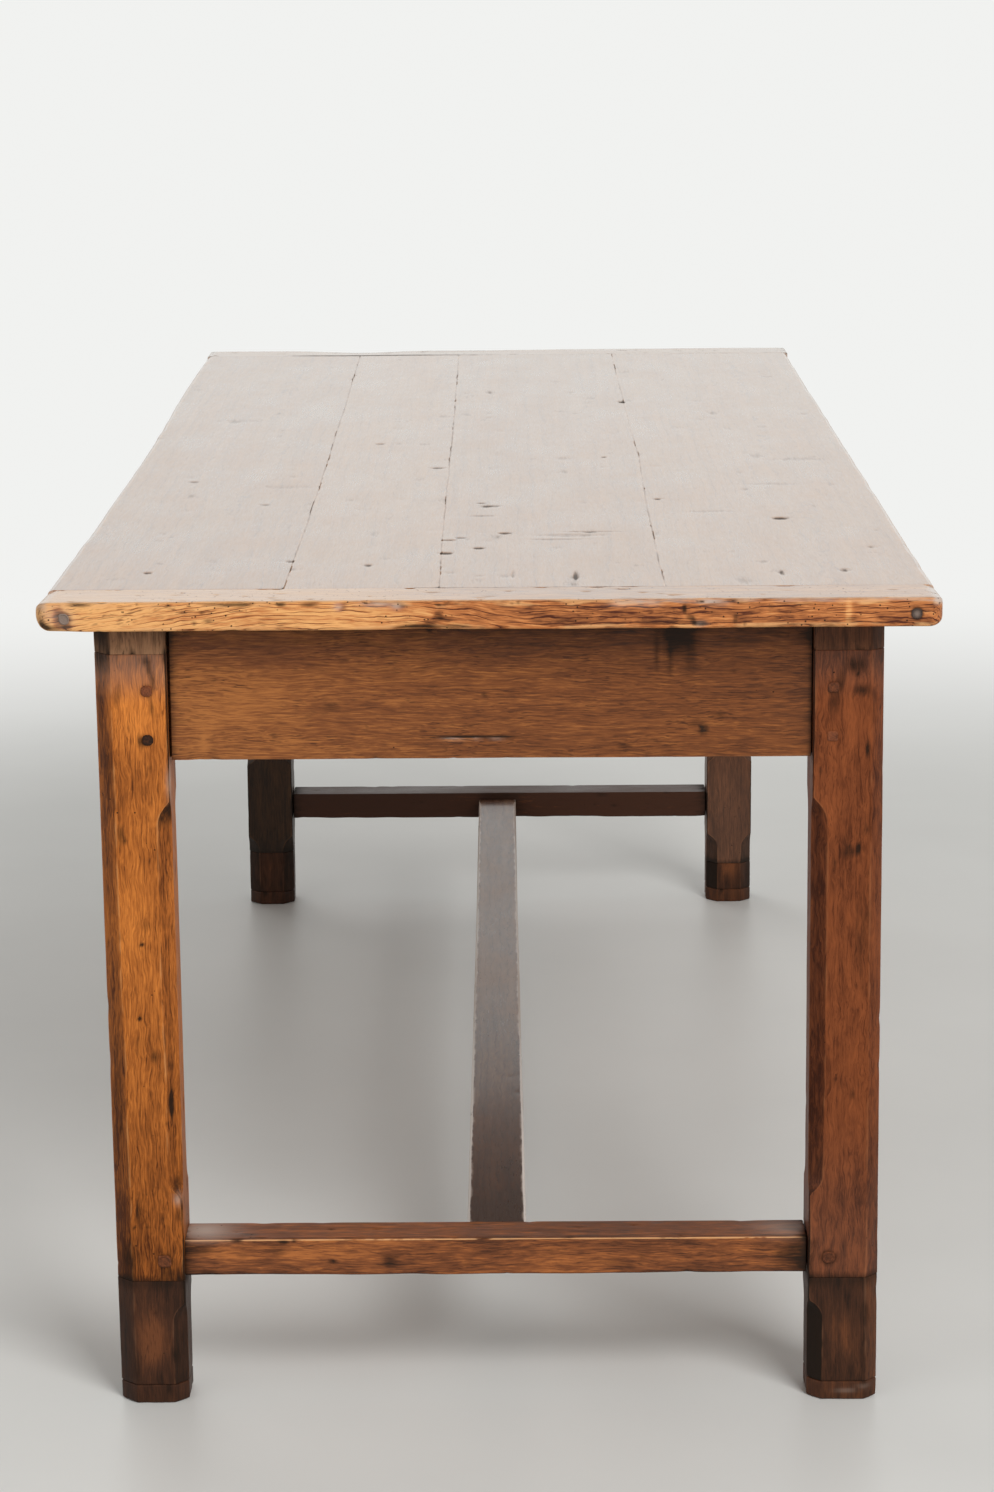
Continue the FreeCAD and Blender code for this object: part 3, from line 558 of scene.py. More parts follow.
LEG_WOODS = {
    "near_left": wood(
        "leg_wood_near_left", ((208, 126, 56), (160, 91, 38), (78, 39, 16)), (196, 134, 80), lines=1.5,
        streak=0.2, fibre=0.62, dashes=0.5, contrast=0.85, specular=0.1, worms=0.4, waver=0.008,
        mottle=0.18),
    "near_right": wood(
        "leg_wood_near_right", ((136, 74, 40), (110, 58, 31), (60, 27, 12)), (136, 82, 50), dashes=0.5,
        streak=0.14, waver=0.012, mottle=0.4, specular=0.1),
    # The far legs' colours are darkened for the shade under the table: painted shade.
    "far_left": wood("leg_wood_far_left_painted_shade", ((92, 62, 39), (66, 44, 27), (38, 26, 18)), (98, 68, 44)),
    "far_right": wood("leg_wood_far_right_painted_shade", ((122, 78, 53), (92, 58, 39), (54, 34, 24)), (126, 84, 56)),
}
BLOCK_WOODS = {
    "left": wood(
        "leg_block_wood_left", ((154, 116, 86), (114, 84, 62), (56, 40, 31)), (150, 118, 92), lines=0.6,
        dashes=0.9, mottle=0.45, contrast=1.2, specular=0.1),
    "right": wood(
        "leg_block_wood_right", ((104, 66, 44), (76, 48, 33), (42, 27, 20)), (104, 70, 50), lines=0.6,
        dashes=0.8, mottle=0.45, specular=0.1),
}
FOOT_WOOD = wood(
    "foot_wood", ((104, 62, 38), (70, 43, 29), (36, 24, 18)), (104, 70, 50), lines=0.5, mottle=0.4,
    contrast=0.75, specular=0.12)
APRON_WOOD = wood(
    "apron_wood", ((159, 100, 52), (115, 66, 34), (58, 31, 17)), (142, 92, 54), lines=0.9, dashes=0.8,
    streak=0.24, fibre=0.75, mottle=0.2, contrast=0.65)
# The stretchers' light worn colour also paints the bright highlight on the near rail's upper arris.
STRETCHER_WOOD = wood(
    "stretcher_wood", ((172, 104, 55), (120, 69, 39), (62, 36, 23)), (218, 166, 116), lines=0.7, fibre=0.48,
    mottle=0.34, contrast=1.2)
# The centre rail's pale grey worn colour paints the reflection on its chamfers.
CENTRE_WOOD = wood(
    "centre_wood", ((134, 103, 80), (88, 59, 43), (50, 32, 23)), (206, 190, 178), gloss=(0.26, 0.36),
    coat=0.37, coat_roughness=0.14, specular=0.12, relief=0.00002, dashes=0.3, fibre=0.22, mottle=0.16)
GREY_PEG_WOOD = wood(
    "peg_wood_grey", ((150, 116, 88), (84, 62, 50), (46, 34, 29)), (128, 98, 78), ring=0.002, worms=0.0)
RED_PEG_WOOD = wood(
    "peg_wood_red", ((128, 72, 42), (98, 54, 33), (56, 31, 20)), (150, 100, 68), ring=0.002, worms=0.0)
INNER_WOOD = wood(
    "inner_wood", ((172, 130, 88), (146, 106, 70), (106, 74, 48)), (180, 140, 98), gloss=(0.55, 0.7),
    worms=0.2)
HIDDEN_WOODS = {axis: wood(
    f"hidden_wood_{axis}", ((176, 136, 92), (150, 112, 74), (110, 78, 52)), (180, 140, 98),
    gloss=(0.55, 0.7), source=object_grain(axis)) for axis in (Y, Z)}
NAIL_IRON = iron("nail_iron")


# The top

# Where the edges and seams of the top lie at some places along it, from its hollow left edge to its right
SEAM_STATIONS = (-965, -500, -100, 300, 965)
TOP_LINES = (
    ((-965, -800, -540, -130, 30, 200, 385, 585, 965),
     (-390.5, -389.5, -387, -386, -387, -389, -392, -394.5, -394.8)),
    (SEAM_STATIONS, (-183, -181, -181.7, -183, -187)),
    (SEAM_STATIONS, (-45, -47.5, -48.2, -49.3, -53)),
    (SEAM_STATIONS, (153.8, 154, 158.5, 156.5, 154.3)),
    ((-965, 965), (390.4, 392.5)),
)
SEAM_LINES = (1, 2, 3)
SEAM_WAVER = 0.5


def top_line(number, y):
    """Where an edge or a seam of the top lies; the seams have a slight waver."""
    y = np.atleast_1d(np.asarray(y, float))
    waver = SEAM_WAVER if number in SEAM_LINES else 0
    return np.interp(y, *TOP_LINES[number]) + waver * ripple(y, 110, 299 + number)


PLANK_NAMES = ("left", "centre_left", "centre_right", "right")
PLANK_TONES = (-0.12, 0.14, -0.04, 0.1)
PLANK_GAP = 0.02
TONGUE_LENGTH, TONGUE_THICKNESS, TONGUE_INSET = 19, 9, 34
# Painted reflection on the outer arrises of the outer planks.
EDGE_SHEEN = 0.7

# Dents in the face of the top: across, along, width, length, depth, darkness
TOP_DENTS = (
    (-310, -816, 4, 5, 1.2, 0.8),
    (-42, -719, 6, 6, 1.6, 1.1),
    (-12, -692, 6, 5, 1, 0.8),
    (-40, -645, 7, 4, 0.8, 0.6),
    (-30, -632, 5, 4, 0.6, 0.6),
    (12, -606, 6, 5, 1, 0.7),
    (-1, -437, 10, 6, 0.6, 0.6),
    (-12, -418, 5, 4, 0.6, 0.5),
    (-60, -169, 9, 6, 0.8, 0.6),
    (-129, 22, 5, 6, 0.9, 0.6),
    (-112, -782, 4, 6, 0.8, 0.8),
    (-185, -760, 4, 5, 0.6, 0.5),
    (282, -526, 7, 7, 1.8, 1.2),
    (167, -398, 4, 5, 0.9, 0.7),
    (154, 381, 5, 9, 1, 0.6),
    (120, -94, 3, 5, 0.8, 0.7),
    (-315, -260, 6, 6, 0.6, 0.5),
    (-230, -420, 5, 6, 0.5, 0.5),
    (319, -825, 5, 8, 0.8, 0.6),
    (262, -835, 3, 14, 0.8, 0.6),
    (355, -700, 4, 7, 0.6, 0.5),
    (76, -842, 2, 22, 1.2, 0.8),
    (20, -835, 1.6, 18, 0.8, 0.5),
    (75, -622, 34, 9, 0.5, 0.35),
    (96, -600, 30, 4, 0.3, 0.4),
    (62, -645, 28, 4, 0.3, 0.4),
    (215, -480, 26, 8, 0.2, 0.3),
    (290, -300, 30, 9, 0.2, 0.3),
    (330, -120, 34, 12, 0.2, 0.3),
    (-300, 230, 34, 16, 0.2, 0.25),
    (-215, -300, 30, 12, 0.2, 0.25),
    (-10, -500, 14, 5, 0.3, 0.4),
)
DENT_REACH = 6


def top_plank(number, name):
    """One plank of the top: tapered or bowed, its seam arrises worn, its outer arris rounded and painted
    pale as a reflection.
    """
    low, high = cad(f"top_plank_{name}")
    low[Y], high[Y] = PLANK_GAP - CROSS_SEAM, CROSS_SEAM - PLANK_GAP
    lines = (number, number + 1)
    outer_left, outer_right = (line not in SEAM_LINES for line in lines)
    seed = 20 + number

    def reshape(along, planes):
        left, right = (top_line(line, along) for line in lines)
        planes[:, 2] = left + (0 if outer_left else PLANK_GAP / 2)
        planes[:, 3] = right - (0 if outer_right else PLANK_GAP / 2)

    def arrises(along):
        wear = 0.01 + 0.2 * np.clip(ripple(along, 45, seed) - 0.35, 0, 1)
        outer = 5 + 1.2 * ripple(along, 55, seed + 3)
        left_size, right_size = (outer if edge else wear for edge in (outer_left, outer_right))
        return np.column_stack([left_size, left_size, right_size, right_size])

    tongue = (UNDERSIDE + TOP - TONGUE_THICKNESS) / 2, (UNDERSIDE + TOP + TONGUE_THICKNESS) / 2
    dents = np.array(TOP_DENTS)
    left, right = (top_line(line, dents[:, 1]) for line in lines)
    dents = dents[(left < dents[:, 0]) & (dents[:, 0] < right)]
    left, right = (top_line(line, 0.0) for line in lines)
    shares = (crowd(dents[:, 0], dents[:, 2]) - left) / (right - left)
    plank = Timber(Y, low, high, seed, step=5, across=5, arrises=arrises, end_radius=0.35, reshape=reshape,
                   tenon=(TONGUE_LENGTH, (*tongue, low[X] + TONGUE_INSET, high[X] - TONGUE_INSET)),
                   extra=crowd(dents[:, 1], dents[:, 3]), finer={1: shares})
    plank.sink(0.2, length=240, width=50)
    plank.tone += PLANK_TONES[number]
    for x, y, width, length, depth, dark in TOP_DENTS:
        plank.mark((x, y, TOP), (width, length, DENT_REACH), depth, dark, hard=2)
    plank.bruise(90, size=5, depth=0.5, dark=0.45)
    for line in set(lines) & set(SEAM_LINES):
        soil_seam(plank, line)
    for end in ENDS:
        soil_cross_seam(plank, end)
    # Painted reflection: the outer arrises of the outer planks are made pale, like the sheen on the top's
    # face.
    plank.pale += EDGE_SHEEN * (outer_left * plank.on_arris(1) + outer_right * plank.on_arris(2))
    piece(f"top_plank_{name}", [plank], TOP_WOOD)


# How dark each seam is at its cleanest and its dirtiest, and how dirty its near end, middle and far end are
SEAM_DIRT = {
    1: (0.4, 0.5, (1.0, 0.6, 0.9)),
    2: (0.34, 0.54, (0.8, 1.0, 0.6)),
    3: (0.24, 0.62, (1.0, 0.3, 0.9)),
}
SEAM_SPREAD = 0.9
# How dirty the near and far cross seams are along the table's width, and how far the dirt spreads
CROSS_DIRT = {
    "near": ((-395, -90, -60, 80, 160, 395), (0.1, 0.12, 0.5, 0.4, 0.35, 0.3), 1.6),
    "far": ((-340, -260, -190, -120, -60, 20), (0.2, 0.7, 1.2, 0.85, 0.55, 0.15), 7.0),
}


def soil_seam(plank, line):
    """Dirt in stretches along a seam of a plank."""
    faint, strong, shares = SEAM_DIRT[line]
    patchy = np.clip(1.5 * ripple(plank.y, 50, 329 + line) + 0.5, 0, 1)
    patchy *= np.interp(plank.y, (TOP_LOW[Y], 0, -TOP_LOW[Y]), shares)
    from_seam = plank.x - top_line(line, plank.y)
    plank.dark += (faint + patchy * (strong - faint)) * fade(from_seam, SEAM_SPREAD, 2)


def soil_cross_seam(timber, end):
    """Dirt along the seam between the plank ends and a cross board."""
    places, amounts, spread = CROSS_DIRT[end]
    patchy = np.clip(1.8 * ripple(timber.x, 60, 340) + 0.6, 0.3, 1)
    from_seam = timber.y - ENDS[end] * CROSS_SEAM
    timber.dark += patchy * np.interp(timber.x, places, amounts) * fade(from_seam, spread, 2)


# Marks on the near edge of the top, as front_marks has them
EDGE_MARKS = (
    (-391, 737, 11, 8, 0.5, 0.9),
    (-384, 735, 10, 5, 0.5, 0.5),
    (-391, 750, 6, 14, 0.4, 0.5),
    (-373, 746, 6, 12, 0.6, 0.4, -1),
    (-366, 740, 4, 9, 0.3, 0.3, -0.6),
    (-356, 759, 12, 3, 1.6, 0.7),
    (-240, 758, 12, 3, 1.6, 0.5),
    (-220, 758, 16, 3, 2, 0.7),
    (-181, 758, 5, 3, 1.4, 0.7),
    (-157, 758, 9, 3, 1.8, 0.6),
    (-129, 755, 5, 4, 1.4, 0.5, -0.6),
    (-98, 759, 16, 4, 1.2, 0.4, -0.6),
    (-78, 756, 6, 4, 1.2, 0.5, -0.6),
    (-45, 746, 5, 5, 0.8, 0.55, -0.4),
    (-38, 743, 7, 3, 0.5, 0.35, -0.3),
    (-52, 741, 6, 3, 0.5, 0.3, -0.3),
    (-62, 735, 20, 4, 2.6, 1),
    (-30, 736, 12, 3, 1.4, 0.5),
    (118, 757, 12, 4, 2, 0.3, 0.6),
    (138, 757, 12, 4, 1.6, 0.4, 0.3),
    (195, 757, 12, 4, 2.2, 0.5, 0.2),
    (168, 751, 2.2, 5, 1.2, 0.8),
    (173, 744, 4, 2.4, 1.2, 0.6),
    (182, 738, 6, 2.6, 1.4, 0.7, -0.3),
    (176, 740, 2.5, 4, 1, 0.5),
    (212, 742, 2.5, 5, 0.8, 0.6),
    (220, 738, 2, 3, 0.6, 0.5),
    (310, 747, 3, 16, 0, 0, 0.5),
    (60, 741, 26, 4, 0.4, 0.3, -0.3),
    (150, 740, 30, 3, 0.6, 0.3, -0.3),
)
# Flakes of the same edge, painted pale for the reflection their tilted faces catch: across, height, width,
# tallness, paleness
EDGE_FLAKES = (
    (-384, 750, 12, 8, 0.3),
    (-131, 755, 4, 3, 0.8),
    (-97, 757, 14, 2.5, 0.6),
    (-80, 755, 5, 3, 0.6),
    (118, 757, 14, 3, 0.75),
    (138, 757, 10, 3, 0.6),
    (182, 738, 5, 2.4, 0.6),
    (195, 757, 11, 3, 0.6),
)
MARK_REACH = 5
EDGE_TONES = ((-150, -50, 20), (0.6, 0.4, -0.05, -0.26, -0.1))
DOWEL_INSET, DOWEL_DROP, DOWEL_RADIUS, DOWEL_SLACK, DOWEL_SINK = 21.5, 1.5, 6, 0.6, 1.2
DOWEL_LENGTH, DOWEL_HOLLOW = 60, 1.7
DOWEL_STAIN, DOWEL_CENTRE, DOWEL_PALE = (8, 5, 9), (3, 6, 3), 0.35
BOARD_ENDS = (-394.9, 392.6)
BOARD_SLANTS, SLANT_SPAN = (3.2, -1.8), (330, 390)
RUN_OUT = ((-395, -200, -60, 30, 395), (0, 25, 20, 8, 13))
BULLNOSES = {"near": 13, "far": 4}
BOARD_PULLS = {"near": ((1.0, 0.03, 1.0, 0.6), (1.0, 0.03, 0.6, 0.36)), "far": ((0.03, 0.6, 0.8, 0.4),) * 2}
# Dips worn in the far edge: across, width, depth
EDGE_DIPS = ((-189, 60, 3.0), (-40, 90, 0.8))


def slanted_ends(board):
    """Draw the ends of the near cross board in toward its seam, where they meet the planks."""
    from_front = (board.y - TOP_LOW[Y]) / (TOP_HIGH[Y] - TOP_LOW[Y])
    slants = zip(SIDES.values(), BOARD_SLANTS)
    return from_front * sum(slant * eased(side * board.x, *SLANT_SPAN) for side, slant in slants)


def cross_board(end):
    """A board across the plank ends: round outer corners, worn and chipped outer arrises, sunk dowels, and
    painted highlights and reflections on its edges.
    """
    low, high = cad(f"cross_board_{end}")
    is_near = end == "near"
    seed = 40 if is_near else 41
    outer = low[Y] if is_near else high[Y]
    half = high[X]
    if is_near:
        low[X], high[X] = BOARD_ENDS

    def arrises(along):
        corner = eased(along, 45 - half, 8 - half)
        upper = 4.2 + 1.6 * ripple(along, 45, seed) + 0.8 * ripple(along, 14, seed + 1)
        lower = 3.2 + 1.2 * ripple(along, 60, seed + 2) + 5 * corner
        seam_side = np.full_like(along, 0.25)
        if is_near:
            return np.column_stack([lower, seam_side, seam_side, upper])
        return np.column_stack([seam_side, lower, upper, seam_side])

    fineness = 1.7 if is_near else 3
    board = Timber(X, low, high, seed, step=fineness, across=fineness, arrises=arrises,
                   end_radius=BULLNOSES[end], end_pull=BOARD_PULLS[end])
    board.grain[:, 2] -= np.interp(board.x, *RUN_OUT)
    board.chip(3 if is_near else 2, depth=1.5, dark=0.7)
    off_seam = eased(np.abs(board.y - ENDS[end] * CROSS_SEAM), 2, 10)
    board.weather(0.6, length=70, width=16, faces=(X, Y), where=off_seam).sink(0.2, length=70, width=16)
    if is_near:
        board.front_marks(EDGE_MARKS, outer, MARK_REACH, hard=1.6)
        for x, z, width, tall, pale in EDGE_FLAKES:
            board.pale_patch((x, outer, z), (width, MARK_REACH, tall), pale, lightened=0.6)
        board.pale *= 0.8 + 0.4 * board.lumps(5, 2, 7)
        tone_places, tones = EDGE_TONES
        board.tone += np.interp(board.x, (-half, *tone_places, half), tones)
    else:
        for x, width, depth in EDGE_DIPS:
            board.mark((x, outer, TOP), (width, 40, 12), depth, dark=0.3)
    board.bruise(110, size=1.8, depth=1.0, dark=0.6)
    # Painted highlight: the upper corners at the boards' ends are made pale, as rims that catch the light.
    at_corner = eased(np.abs(board.x), half - 9, half - 3) * eased(board.z, TOP - 9, TOP - 3)
    board.pale += np.where(board.x > 0, 0.9, 0.4 if is_near else 0.9) * at_corner
    if is_near:
        # Painted highlight: a pale, patchy line along the near board's upper arris on the right, where the
        # polished arris catches the light.
        wear_and_highlight = 0.5 + 0.7 * board.lumps(16, 5, 8)
        board.pale += 0.5 * wear_and_highlight * eased(board.x, 60, 180) * board.on_arris(3, 0.1, 0.8)
    else:
        # Its worn arrises are toned down, and as a painted reflection its upper face and arris are made
        # pale grey, like the sheen on the top.
        board.worn *= 0.15
        board.pale += 0.6 * eased(board.z, TOP - 6, TOP - 2)
    soil_cross_seam(board, end)
    dowels = sunk_dowels(board, end, half, outer)
    if is_near:
        board.lean(slanted_ends)
    piece(f"cross_board_{end}", [board], EDGE_WOOD)
    piece(f"cross_board_dowels_{end}", dowels, GREY_PEG_WOOD)


def sunk_dowels(board, end, half, outer):
    """A dowel near each end of a cross board's outer edge, its head at the bottom of a hollow."""
    dowels = []
    for side in SIDES.values():
        at = np.array([side * (half - DOWEL_INSET), outer, (UNDERSIDE + TOP) / 2 - DOWEL_DROP])
        board.mark(at, (DOWEL_RADIUS, 4, DOWEL_RADIUS), DOWEL_HOLLOW, 0.5 + 0.4 * side, hard=3)
        radius = DOWEL_RADIUS - DOWEL_SLACK
        dowel = peg(Y, at, radius, -ENDS[end], DOWEL_LENGTH, -DOWEL_SINK, board.seed + side)
        dowel.tone -= 0.5 + 0.3 * side
        if end == "near" and side < 0:
            board.mark(at, DOWEL_STAIN, dark=0.12, pale=DOWEL_PALE)
            dowel.pale += DOWEL_PALE
        else:
            dowel.mark(at, DOWEL_CENTRE, pale=DOWEL_PALE)
        dowel.worn *= 0.3
        dowels.append(dowel)
    return dowels


def peg(axis, face, radius, inward, length, proud, seed):
    """A whittled peg: eight uneven sides, with its head on a face and its length running inward."""
    draw = np.random.default_rng(seed + 500)
    head = face[axis] - inward * proud
    low = np.array(face) - radius * draw.uniform(0.9, 1.05, 3)
    high = np.array(face) + radius * draw.uniform(0.9, 1.05, 3)
    low[axis], high[axis] = sorted((head, head + inward * length))
    arrises = radius * draw.uniform(0.3, 0.7, 4)
    made = Timber(axis, low, high, seed, step=8, across=2.5, arrises=arrises, end_radius=1.4, roundness=0.5)
    return made.weather(0.3, length=4, width=4)


# The legs

# Chamfers: the heights they run between, how far they reach along a face (outermost, others), their scoops
SHAFT_CHAMFER, FOOT_CHAMFER = (199, 571), (-44, 98)
CHAMFERS = {"near_left": (15, 12.5), "near_right": (11, 13), "far_left": (11, 15), "far_right": (11, 15)}
UPPER_SCOOP, LOWER_SCOOP = 37, 24
CHAMFER_ROUND = 0.12
OUTERMOST = {"near_left": 0, "near_right": 1, "far_right": 2, "far_left": 3}


def scooped(height, low, high, width, low_radius, high_radius):
    """How far a stopped chamfer reaches along each face at a height: flat between scooped ends."""
    depth = width * math.sqrt(0.5)
    low_run, high_run = (math.sqrt(depth * (2 * radius - depth)) for radius in (low_radius, high_radius))
    below = np.clip(low + low_run - height, 0, low_radius)
    above = np.clip(height - high + high_run, 0, high_radius)
    drop = low_radius - np.sqrt(low_radius ** 2 - below ** 2)
    drop += high_radius - np.sqrt(high_radius ** 2 - above ** 2)
    return np.clip(depth - drop, 0, None) * math.sqrt(2)


def leg_arrises(outermost, outer_chamfer, inner_chamfer, seed):
    """The chamfers of a leg at each height: one full-length on the outermost arris, the others stopped."""
    def arrises(height):
        sizes = []
        for corner in range(4):
            worn = 1.5 + 0.5 * ripple(height, 40, seed + corner)
            if corner == outermost:
                cut = np.full_like(height, outer_chamfer)
            else:
                cut = scooped(height, *SHAFT_CHAMFER, inner_chamfer, LOWER_SCOOP, UPPER_SCOOP)
                cut += scooped(height, *FOOT_CHAMFER, inner_chamfer, LOWER_SCOOP, LOWER_SCOOP)
            cut *= (1 + 0.06 * ripple(height, 50, seed + 10 + corner)
                    + 0.03 * ripple(height, 17, seed + 20 + corner))
            sizes.append(np.maximum(cut, worn))
        return np.column_stack(sizes)
    return arrises


# How far across the foot and the top of a leg stand from where the frame has them: outer face, inner face
LEANS = {
    "near_left": ((0.0, 1.8), (-3.6, -0.4)),
    "near_right": ((3.0, 0.2), (0.4, -1.4)),
    "far_left": ((-3.0, -3.0), (-3.0, -3.0)),
    "far_right": ((0.0, 0.0), (0.0, 0.0)),
}
LEAN_HEIGHTS = (60, 670)
APRON_PEG_HEIGHTS = (626.5, 671)
APRON_PEG = {"offset": 17.5, "radius": 5, "length": 34, "hollow": 0.4, "worn": 0.4}
STRETCHER_PEG = {"offset": 18, "radius": 6, "length": 44, "hollow": 0.5, "worn": 0.3}
PEG_PROUD, PEG_HOLLOW_SHARE = 0.5, 1.3

# Marks on the front faces of the near legs, as front_marks has them
LEG_MARKS = {
    "near_left": (
        (-303, 698, 4, 4, 0.8, 0.5),
        (-300, 690, 2.2, 7, 0.8, 0.55),
        (-297.5, 681, 1.8, 7, 0.6, 0.55),
        (-318, 648, 18, 34, 0, 0, 0.7),
        (-299, 655, 2.5, 9, 0.4, 0.6),
        (-328, 665, 4, 9, 0.4, 0.5),
        (-310, 625, 3, 7, 0.6, 0.6),
        (-325.6, 186, 1.6, 13, 1.2, 1.1),
        (-314, 439, 2, 2, 1.2, 1.2),
        (-318.5, 370, 2, 2, 1.2, 1.2),
        (-340, 300, 5, 70, 0.3, 0.5),
        (-336, 140, 10, 20, 0.8, 0.7),
        (-300, 127, 10, 5, 0.8, 0.6),
        (-290, 212, 4, 6, 1, 0.9),
        (-293, 198, 3, 4, 1.4, 0.1),
        (-293, 289, 1.6, 13, 1.8, 2.2),
        (-344, 660, 6, 60, 0, 0.35, -0.6),
        (-337, 600, 5, 26, 0, 0.2, -0.5),
        (-318, 172, 4, 2, 0.5, 0.7),
        (-300, 560, 7, 20, 0.3, 0.1, 0.6),
        (-312, 480, 16, 60, 0.2, 0, 0.1),
    ),
    "near_right": (
        (333, 614, 2, 8, 1.2, 1),
        (326, 524, 2, 5, 1.4, 1.2),
        (318, 520, 8, 5, 0.4, 0.6),
        (328, 668, 8, 6, 0.5, 0.8),
        (322, 690, 10, 8, 0.6, 0.7),
        (304, 660, 6, 16, 0.4, 0.6),
        (300, 560, 8, 40, 0.2, 0, 0.4),
        (330, 440, 8, 40, 0.2, 0.4),
        (312, 300, 10, 50, 0.2, 0, 0.1),
    ),
}
LEG_MARK_REACH = 14
# Pale places on the near legs: place, size, paleness, depth; the left leg's first, in the notch at its
# lower chamfer stop, is a painted highlight
LEG_PALE_PATCHES = {
    "near_left": (((-290, -907, 198), (3.2, 9, 5), 0.9, 1.6), ((-286, -908, 588), (3, 8, 14), 0.6, 0.3)),
    "near_right": (((320, -914, 9), (9, 14, 2), 0.2, 0.4), ((335, -912, 13), (6, 14, 2), 0.15, 0.4)),
}

# Painted shade on the chamfers of the near posts, which sets them off from the front faces: arris, from and
# to which share of the way across, darkness, tone
POST_CHAMFER_SHADE = {
    "near_left": ((0, 0, 1, 0.0, -0.35), (1, 0, 0.55, 0.0, -0.4), (1, 0.55, 1, 0.0, -0.1)),
    "near_right": ((0, 0, 1, -0.1, -0.5), (1, 0, 1, 0, -0.15)),
}
# Bands by height, each as field, amounts left and right, span. On the posts: painted shade under the top, a
# paler grey near it, and darker towards the foot
POST_SHADE_AND_STAINS = (
    ("dark", (0.12, 0.12), (682, 704)),
    ("tone", (-0.4, -0.4), (672, 702)),
    ("pale", (0.22, 0.05), (655, 700)),
    ("pale", (0.0, 0.04), (300, 130)),
    ("tone", (-0.4, -0.25), (330, 130)),
)
# Painted shade in the upper scoops, which face down; the lower stops and the arris below them are darkened
# too.
SCOOP_SHADE_AND_DIRT = (("dark", (0.75, 0.4), (540, 560)), ("dark", (0.5, 0.5), (212, 199)))
# Painted shade on the left leg's outermost chamfer, from near the top of the post up through the block.
OUTER_CHAMFER_SHADE = (("dark", (0.5, 0.0), (678, 702)),)
# Painted shade on the blocks: darker under the top, lighter lower down.
BLOCK_SHADE = (("dark", (0.35, 0.1), (710, 732)), ("tone", (0.5, 0.2), (724, 704)))
# Looks that differ between the left and the right legs
PEG_DIRT = (0.5, 0.2)
# Painted shade on the blocks' outermost chamfers.
BLOCK_CHAMFER_SHADE = (-0.5, -0.1)
FOOT_CHAMFER_DARK, FOOT_CHAMFER_TONE = (0.4, 1.1), (0.0, 0.9)
PAD_TONE = (-0.5, 0.0)
LIGHTENED_FOOT_CORNERS, LIGHTENED_CHAMFER_DARK = {"far_right": 1}, 0.1
FOOT_TONE = -0.6
FOOT_GLOW = {"near_left": 2.1, "near_right": 1.0, "far_left": 0.3, "far_right": 2.2}
GLOW_HEIGHT, GLOW_WIDTH, GLOW_TALL = 62, 13, 26
APRON_SPAN = (596, 606)
RAIL_HEIGHT, RAIL_REACH = 138, 20
FOOT_STAIN_HEIGHT, FOOT_STAIN_REACH = 118, 8


